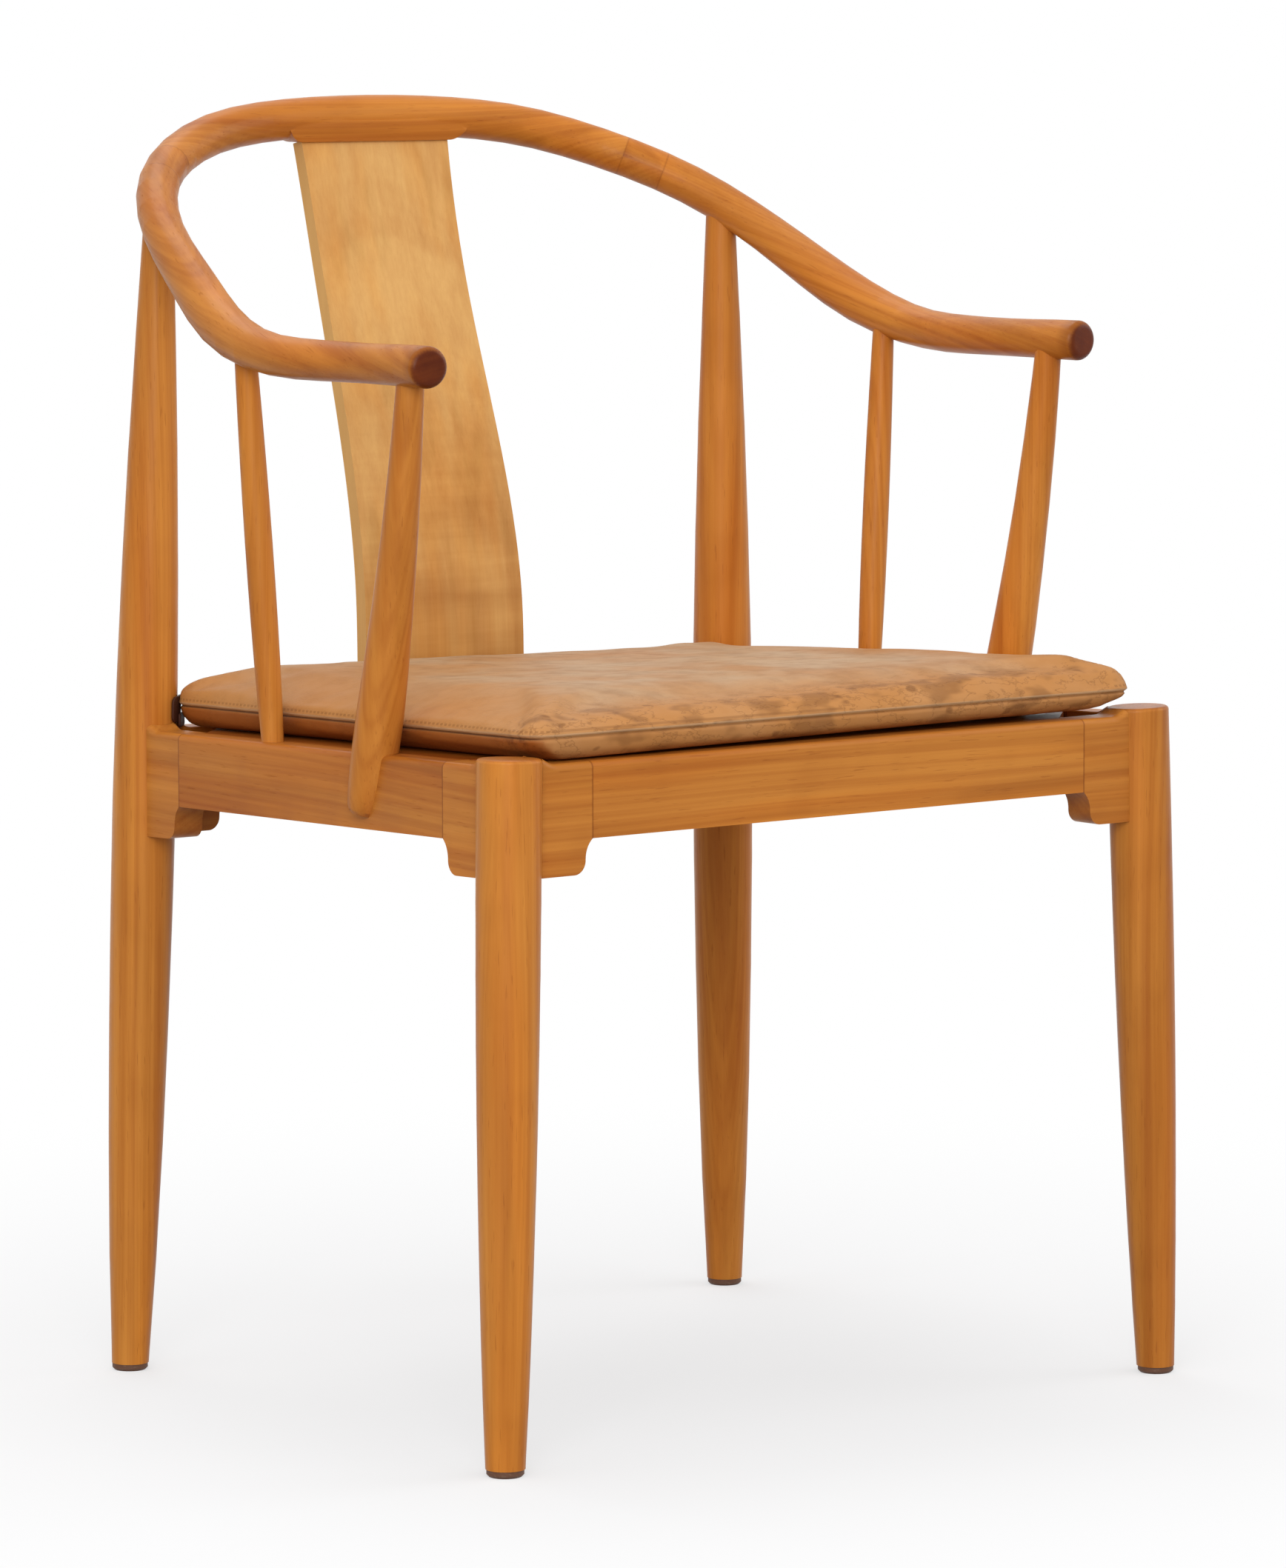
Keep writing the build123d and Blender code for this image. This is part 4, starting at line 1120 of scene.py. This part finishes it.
@dataclass
class CushionTies:
    """Leather patches nailed to the back legs, and the tabs on the cushion's corners."""

    leg_axis: Point = (0.237629, 0.166507, 0.4223)
    leg_lean: tuple[float, float] = (-0.02408, -0.02532)
    leg_radius: float = 0.02035
    thickness: float = 0.0018
    patch: tuple[float, float] = (0.021, 0.017)
    tab: tuple[float, float] = (0.014, 0.009)
    tab_place: Point = (0.2205, 0.1525, 0.4236)
    tab_sag: float = 14.0
    corner_share: float = 0.24
    rim_share: float = 0.3
    bends: int = 12

    def softened(self, body: Body, edges: list[bmesh.types.BMEdge], width: float, segments: int) -> None:
        """Rounds the given edges of a plate."""
        bmesh.ops.bevel(
            body, geom=edges, offset=width, segments=segments, profile=0.5, affect="EDGES", material=-1
        )

    def plate(self, width: float, height: float) -> Body:
        """Flat leather plate with rounded corners, its outer face toward +Y.

        Args:
            width: size along X.
            height: size along Z.

        Returns:
            The plate, cut into strips so that it can bend.
        """
        body = bmesh.new()
        bmesh.ops.create_cube(body, size=1.0)
        bmesh.ops.scale(body, vec=(width, self.thickness, height), verts=body.verts[:])
        upright = [e for e in body.edges if abs(e.verts[0].co.y - e.verts[1].co.y) > self.thickness / 2]
        self.softened(body, upright, height * self.corner_share, 4)
        rims = [e for e in body.edges if abs(e.verts[0].co.y - e.verts[1].co.y) < self.thickness / 4]
        rims = [e for e in rims if len(e.link_faces) == 2 and e.calc_face_angle(0.0) > 1.0]
        self.softened(body, rims, self.thickness * self.rim_share, 2)
        for step in range(1, self.bends):
            sliced(body, Vector((width * (step / self.bends - 0.5), 0, 0)), Vector((1, 0, 0)), 0.00001)
        return body

    def patch_on_leg(self, side: int) -> Body:
        """Patch bent round the inner side of a back leg.

        Args:
            side: +1 for the left, -1 for the right.

        Returns:
            The patch in its place.
        """
        body = self.plate(*self.patch)
        inward = math.atan2(-1.0, -1.0)
        middle = self.patch[1] / 2
        for vertex in body.verts:
            turn = inward + vertex.co.x / (self.leg_radius + self.thickness / 2)
            reach = self.leg_radius + self.thickness / 2 + vertex.co.y
            up = vertex.co.z + middle
            x = self.leg_axis[0] + self.leg_lean[0] * up + reach * math.cos(turn)
            y = self.leg_axis[1] + self.leg_lean[1] * up + reach * math.sin(turn)
            vertex.co = (side * x, y, self.leg_axis[2] + up)
        return body

    def tab_on_cushion(self, side: int) -> Body:
        """Folded tab sewn to a back corner of the cushion, pointing at the patch.

        Args:
            side: +1 for the left, -1 for the right.

        Returns:
            The tab in its place.
        """
        body = self.plate(*self.tab)
        across = Vector((1.0, -1.0, 0.0)).normalized()
        outward = Vector((1.0, 1.0, 0.0)).normalized()
        for vertex in body.verts:
            sag = self.tab_sag * vertex.co.x * vertex.co.x
            place = Vector(self.tab_place) + across * vertex.co.x + outward * (vertex.co.y - sag)
            vertex.co = (side * place.x, place.y, place.z + vertex.co.z)
        return body

    def placed(self, body: Body, name: str) -> Piece:
        """Makes a smooth object of a plate, in strap leather.

        Args:
            body: the bent plate.
            name: the piece's name.

        Returns:
            The piece.
        """
        bmesh.ops.recalc_face_normals(body, faces=body.faces[:])
        piece = solid(body, name)
        shade_smooth(piece)
        STRAP_LEATHER.apply(piece)
        return piece

    def build(self) -> None:
        """Makes both patches and both tabs."""
        for side, name in SIDES:
            patch = self.placed(self.patch_on_leg(side), f"tie_patch_{name}")
            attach(patch, "frame")
            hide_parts(f"cushion_tie_{name}")
            tab = self.placed(self.tab_on_cushion(side), f"tie_tab_{name}")
            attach(tab, "cushion")
        LOG.info("cushion ties made")


# Cushion


@dataclass
class SeatCushion:
    """Loose leather cushion, sewn round its side and stuffed. Heights are over the seat panel."""

    front_y: float = -0.2484
    back_y: float = 0.1590
    front_half: float = 0.2397
    back_half: float = 0.2267
    front_corner: float = 0.0147
    back_corner: float = 0.0215
    corner_steps: int = 6
    seat_z: float = 0.428
    seat_y: float = -0.2387
    seat_slope: float = 0.025165
    rings: tuple[tuple[float, float], ...] = (
        (0.0600, 0.0006), (0.0160, 0.0006), (0.0080, 0.0014), (0.0034, 0.0040), (0.0010, 0.0085),
        (0.0000, 0.0150), (0.0002, 0.0186), (0.0012, 0.0226), (0.0038, 0.0262), (0.0085, 0.0290),
        (0.0160, 0.0308), (0.0300, 0.0320), (0.0520, 0.0326), (0.0900, 0.0328),
    )
    leg_top: tuple[float, float] = (0.2524, -0.2387)
    leg_reach: float = 0.0225
    leg_fade: float = 0.014
    leg_clearance: float = 0.0056
    squash: float = 0.6
    nose_lift: float = 0.0072
    nose_fill: float = 0.0055
    nose_reach: float = 0.110
    nose_out: float = 0.0048
    nose_low: float = 0.018
    nose_full: float = 0.016
    nose_fade: float = 0.01
    voxel: float = 0.005
    pressure: float = 4.0
    frames: int = 20
    most_swell: float = 0.0045
    held_below: float = 0.014
    seam_held_below: float = 0.020
    side_depth: float = 0.02
    flat_below: float = 0.004
    wavy_above: float = 0.02
    wave_rate: float = 11.0
    wave: float = 0.0012
    fine_wave_rate: float = 2.7
    fine_wave: float = 0.0005
    crease_rate: Point = (22.0, 60.0, 60.0)
    crease: float = 0.0009
    crease_place: float = 0.012
    crease_width: float = 0.014
    back_tilt: float = -0.0030
    tilt_from: float = -0.04
    tilt_over: float = 0.18
    seam_height: float = 0.0150
    seam_cuts: tuple[float, ...] = (-0.0024, -0.0012, 0.0, 0.0010, 0.0020, 0.0032, 0.0046)
    seam_band: float = 0.006
    stitch_band: float = 0.009
    groove: float = 0.0015
    groove_width: float = 0.0009
    welt: float = 0.0005
    welt_rise: float = 0.0022
    welt_width: float = 0.0011

    def lie(self) -> Matrix:
        """Matrix that lays a flat shape on the seat."""
        turn = Matrix.Rotation(-math.atan(self.seat_slope), 4, "X")
        back = Matrix.Translation((0.0, -self.seat_y, 0.0))
        return Matrix.Translation((0.0, self.seat_y, self.seat_z)) @ turn @ back

    def outline(self, inset: float) -> list[tuple[float, float]]:
        """Plan of the cushion's left half from front to back and its right half back again.

        Args:
            inset: distance inside the widest outline.

        Returns:
            Points in plan, the same number for every inset.
        """
        front, back = self.front_y + inset, self.back_y - inset
        wide, narrow = self.front_half - inset, self.back_half - inset
        corners = [
            ((wide, front), self.front_corner, (-1.0, 0.0), (0.0, 1.0)),
            ((narrow, back), self.back_corner, (0.0, -1.0), (-1.0, 0.0)),
        ]
        half = []
        for (x, y), reach, before, after in corners:
            start = (x + before[0] * reach, y + before[1] * reach)
            stop = (x + after[0] * reach, y + after[1] * reach)
            for step in range(self.corner_steps + 1):
                share = step / self.corner_steps
                bow = 2 * share * (1 - share)
                half.append((
                    start[0] * (1 - share) ** 2 + x * bow + stop[0] * share ** 2,
                    start[1] * (1 - share) ** 2 + y * bow + stop[1] * share ** 2,
                ))
        return half + [(-x, y) for x, y in reversed(half)]

    def nose(self, x: float, y: float) -> float:
        """How far a place in plan belongs to the left front corner, which curls up with age."""
        return eased(1.0 - math.hypot(x - self.leg_top[0], y - self.leg_top[1]) / self.nose_reach)

    def raised(self, x: float, y: float, height: float) -> float:
        """Height of a pad point, clear of the front legs' tops and of the rails that rise to them.

        Args:
            x, y: place in plan.
            height: the point's height where nothing is in the way.

        Returns:
            The raised height.
        """
        away = math.hypot(abs(x) - self.leg_top[0], y - self.leg_top[1])
        needed = self.leg_clearance * (1 - eased((away - self.leg_reach) / self.leg_fade))
        height = max(height, needed + self.squash * height)
        near = self.nose(x, y)
        low = max(0.0, 1.0 - height / self.nose_low)
        full = min(1.0, max(0.0, (height - self.nose_full) / self.nose_fade))
        return height + near * (self.nose_lift * near * low + self.nose_fill * full)

    def start_shape(self) -> Piece:
        """Closed pad before stuffing, slightly flatter than the finished cushion."""
        pad = bmesh.new()
        layers = []
        for inset, height in self.rings:
            layer = []
            for x, y in self.outline(inset):
                x += self.nose_out * self.nose(x, y)
                layer.append(pad.verts.new((x, y, self.raised(x, y, height))))
            layers.append(layer)
        pad.faces.new(list(reversed(layers[0])))
        pad.faces.new(layers[-1])
        count = len(layers[0])
        for lower, upper in zip(layers, layers[1:]):
            for place in range(count):
                ahead = (place + 1) % count
                pad.faces.new((lower[place], lower[ahead], upper[ahead], upper[place]))
        bmesh.ops.recalc_face_normals(pad, faces=pad.faces[:])
        bmesh.ops.triangulate(pad, faces=[face for face in pad.faces if len(face.verts) > 4])
        pad.transform(self.lie())
        return solid(pad, "cushion_start")

    def applied(self, shape: Piece, name: str) -> Piece:
        """Makes an object's modifiers final.

        Args:
            shape: the object, which is removed.
            name: the new object's name.

        Returns:
            The new object.
        """
        graph = bpy.context.evaluated_depsgraph_get()
        mesh = bpy.data.meshes.new_from_object(shape.evaluated_get(graph))
        mesh.name = name
        bpy.data.objects.remove(shape)
        return hang(name, mesh)

    def height_over_seat(self, point: Vector) -> float:
        """Height of a point over the seat panel."""
        return point.z - self.seat_z + self.seat_slope * (point.y - self.seat_y)

    def inside(self, point: Vector) -> float:
        """Distance of a point inside the widest outline, in plan."""
        share = (point.y - self.front_y) / (self.back_y - self.front_y)
        half = self.front_half + share * (self.back_half - self.front_half)
        return min(half - abs(point.x), point.y - self.front_y, self.back_y - point.y)

    def remeshed(self, shape: Piece) -> Piece:
        """The start shape as an even mesh."""
        even = shape.modifiers.new("Even", "REMESH")
        even.mode = "VOXEL"
        even.voxel_size = self.voxel
        return self.applied(shape, "cushion_even")

    def stuffed(self, shape: Piece) -> Piece:
        """Swells the pad by cloth simulation, held at its underside and seam.

        Args:
            shape: the pad, which is replaced.

        Returns:
            The swollen pad.
        """
        held = shape.vertex_groups.new(name="held")
        for vertex in shape.data.vertices:
            height = self.height_over_seat(vertex.co)
            if height < self.held_below:
                held.add([vertex.index], 1.0, "REPLACE")
            elif height < self.seam_held_below and self.inside(vertex.co) < self.side_depth:
                held.add([vertex.index], 0.8, "REPLACE")
        rest = [vertex.co.copy() for vertex in shape.data.vertices]
        cloth = shape.modifiers.new("Stuffing", "CLOTH")
        settings = cloth.settings
        settings.quality = 6
        settings.mass = 0.3
        settings.tension_stiffness = 30.0
        settings.compression_stiffness = 30.0
        settings.shear_stiffness = 10.0
        settings.bending_stiffness = 1.5
        settings.use_pressure = True
        settings.uniform_pressure_force = self.pressure
        settings.effector_weights.gravity = 0.0
        settings.vertex_group_mass = "held"
        cloth.collision_settings.use_collision = False
        cloth.point_cache.frame_start = 1
        cloth.point_cache.frame_end = self.frames
        scene = bpy.context.scene
        for frame in range(1, self.frames + 1):
            scene.frame_set(frame)
        shape = self.applied(shape, "seat_cushion_leather")
        scene.frame_set(1)
        for vertex, start in zip(shape.data.vertices, rest):
            move = vertex.co - start
            if move.length > self.most_swell:
                vertex.co = start + move * (self.most_swell / move.length)
        return shape

    def settle(self, shape: Piece) -> None:
        """Adds the unevenness of an old stuffing, and creases along the edges.

        Args:
            shape: the cushion, which is changed.
        """
        for vertex in shape.data.vertices:
            height = self.height_over_seat(vertex.co)
            if height < self.flat_below:
                continue
            place = vertex.co * self.wave_rate
            wave = noise.noise(place) * self.wave
            wave += noise.noise(place * self.fine_wave_rate) * self.fine_wave
            across, along, up = self.crease_rate
            crease = noise.noise(Vector((vertex.co.x * across, vertex.co.y * along, height * up)))
            edge = math.exp(-((self.inside(vertex.co) - self.crease_place) / self.crease_width) ** 2)
            back = min(1.0, max(0.0, (vertex.co.y - self.tilt_from) / self.tilt_over))
            tilt = self.back_tilt * back * vertex.co.x / self.back_half
            share = min(1.0, height / self.wavy_above)
            vertex.co.z += (wave + crease * self.crease * edge + tilt) * share

    def run_of_seam(self, point: Vector) -> float:
        """Length of the seam from its start to the place nearest a point.

        Args:
            point: a point on the cushion's side.

        Returns:
            The length along the widest outline.
        """
        flat = Vector((point.x, point.y))
        plan = [Vector(corner) for corner in self.outline(0.0)]
        nearest, found, start = 1.0, 0.0, 0.0
        for near, far in zip(plan, plan[1:]):
            run = far - near
            share = min(1.0, max(0.0, (flat - near).dot(run) / run.length_squared))
            distance = (flat - near - run * share).length
            if distance < nearest:
                nearest, found = distance, start + share * run.length
            start += run.length
        return found

    def sew(self, shape: Piece) -> None:
        """Cuts the seam's loops into the side and draws them in to a groove under a raised welt.

        Args:
            shape: the cushion, which is changed.
        """
        body = bmesh.new()
        body.from_mesh(shape.data)
        normal = Vector((0.0, self.seat_slope, 1.0)).normalized()
        base = Vector((0.0, self.seat_y, self.seat_z + self.seam_height))
        for offset in self.seam_cuts:
            sliced(body, base + normal * offset, normal, 0.00005)
        body.normal_update()
        rise, along, side = (body.verts.layers.float.new(name) for name in ("rise", "along", "side"))
        for vertex in body.verts:
            away = self.height_over_seat(vertex.co) - self.seam_height
            vertex[rise] = away
            vertex[along] = self.run_of_seam(vertex.co) if abs(away) < self.stitch_band else 0.0
            level = Vector((vertex.normal.x, vertex.normal.y)).length
            vertex[side] = min(1.0, max(0.0, abs(vertex.normal.x) / max(0.001, level)))
            if abs(away) < self.seam_band and self.inside(vertex.co) < self.side_depth:
                groove = self.groove * math.exp(-((away / self.groove_width) ** 2))
                welt = self.welt * math.exp(-(((away - self.welt_rise) / self.welt_width) ** 2))
                vertex.co += Vector((vertex.normal.x, vertex.normal.y, 0.0)) * (welt - groove)
        body.to_mesh(shape.data)
        body.free()

    def build(self) -> None:
        """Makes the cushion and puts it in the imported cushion's place."""
        shape = self.remeshed(self.start_shape())
        shape = self.stuffed(shape)
        finer = shape.modifiers.new("Finer", "SUBSURF")
        finer.levels = 1
        finer.render_levels = 1
        shape = self.applied(shape, "seat_cushion_leather")
        self.settle(shape)
        self.sew(shape)
        shade_smooth(shape)
        shape.data.update()
        CUSHION_LEATHER.apply(shape)
        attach(shape, "cushion")
        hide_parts("seat_cushion")
        LOG.info("cushion made, %d faces", len(shape.data.polygons))


# Studio


@dataclass(frozen=True)
class Lamp:
    """One soft area lamp."""

    name: str
    place: Point
    size: float
    power: float

    def build(self, target: Vector) -> None:
        """Hangs the lamp.

        Args:
            target: the place it is aimed at.
        """
        data = bpy.data.lights.new(self.name, "AREA")
        data.shape = "DISK"
        data.size = self.size
        data.energy = self.power
        lamp = hang(self.name, data)
        lamp.location = self.place
        lamp.rotation_euler = (target - Vector(self.place)).to_track_quat("-Z", "Y").to_euler()


@dataclass
class Studio:
    """Camera, floor, surrounding light and lamps."""

    camera_place: Point = (-2.8230, -3.6315, 0.8833)
    camera_target: Point = (0.0, -0.0474, 0.3835)
    camera_roll: float = -0.00211
    focal_length: float = 164.62
    ambient: tuple[float, float] = (0.28, 1.04)
    bright_from: Point = (-0.55, -0.80, 0.50)
    bright_span: tuple[float, float] = (-0.75, 0.9)
    floor_radius: float = 14.0
    floor_fade: tuple[float, float] = (0.25, 1.15)
    floor_lift: float = 0.55
    floor_seen: Colour = (0.815, 0.82, 0.83, 1.0)
    floor_bounce: Colour = (0.27, 0.26, 0.25, 1.0)
    lamps: tuple[Lamp, ...] = (
        Lamp("Key lamp", (-2.7, -3.0, 1.75), 2.4, 74.0),
        Lamp("Side lamp", (3.2, -1.6, 1.8), 2.4, 24.0),
        Lamp("Top lamp", (0.4, 1.4, 3.4), 2.2, 28.0),
    )
    lamp_target: Point = (0.0, 0.0, 0.4)

    def camera(self) -> None:
        """The camera, a little over the top rail's height, at the chair's front right."""
        data = bpy.data.cameras.new("Camera")
        data.sensor_width = 36.0
        data.lens = self.focal_length
        data.clip_end = 100.0
        camera = hang("Camera", data)
        place = Vector(self.camera_place)
        aim = (Vector(self.camera_target) - place).to_track_quat("-Z", "Y").to_matrix().to_4x4()
        camera.matrix_world = Matrix.Translation(place) @ aim @ Matrix.Rotation(self.camera_roll, 4, "Z")
        bpy.context.scene.camera = camera

    def world(self) -> None:
        """Soft light from all round, fuller from the front right, behind a plain white surround."""
        world = bpy.data.worlds.new("Studio")
        bpy.context.scene.world = world
        world.use_nodes = True
        world.node_tree.nodes.clear()
        graph = Graph(world.node_tree)
        heading = graph.vector("NORMALIZE", graph.add("ShaderNodeTexCoord").outputs["Generated"])
        facing = graph.vector("DOT_PRODUCT", heading, tuple(Vector(self.bright_from).normalized()))
        around = graph.fit(facing, *self.bright_span, *self.ambient)
        rest = graph.maths("SUBTRACT", 1.0, around)
        strength = graph.maths("ADD", around, graph.times(graph.background_rays(), rest))
        light = graph.add("ShaderNodeBackground", {"Color": WHITE, "Strength": strength})
        graph.add("ShaderNodeOutputWorld", {"Surface": light.outputs["Background"]})

    def floor(self) -> None:
        """Pale floor that fades into the white surround and keeps the chair's shadow."""
        plane = bmesh.new()
        bmesh.ops.create_circle(plane, cap_ends=True, segments=96, radius=self.floor_radius)
        floor = solid(plane, "studio_floor")
        material, graph, output = new_material("Studio floor")
        far = graph.fit(graph.vector("LENGTH", graph.object_place()), *self.floor_fade)
        seen = graph.background_rays()
        lift = graph.scaled(far, 1.0 - self.floor_lift, self.floor_lift)
        shade = graph.blend(seen, self.floor_bounce, self.floor_seen)
        matt = graph.add("ShaderNodeBsdfDiffuse", {"Color": shade})
        glow = graph.add("ShaderNodeEmission", {"Color": WHITE, "Strength": 1.0})
        both = graph.add("ShaderNodeMixShader", {
            0: graph.times(seen, lift), 1: matt.outputs["BSDF"], 2: glow.outputs["Emission"],
        })
        graph.feed(output.inputs["Surface"], both.outputs["Shader"])
        dress(floor, material)

    def build(self) -> None:
        """Sets up the whole studio."""
        bpy.context.scene.view_settings.view_transform = "Standard"
        self.camera()
        self.world()
        self.floor()
        for lamp in self.lamps:
            lamp.build(Vector(self.lamp_target))
        LOG.info("studio set up")


def main() -> None:
    """Builds the chair's look piece by piece, and the studio round it."""
    logging.basicConfig(level=logging.INFO, format="%(name)s: %(message)s")
    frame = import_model()
    nodes = frame["nodes"]
    Studio().build()
    HorseshoeRail(nodes).build()
    BackSplat(nodes).build()
    TurnedSupports(nodes).build()
    SeatFrame(nodes).build()
    SmallParts(nodes).build()
    CushionTies().build()
    SeatCushion().build()


if __name__ == "__main__":
    main()
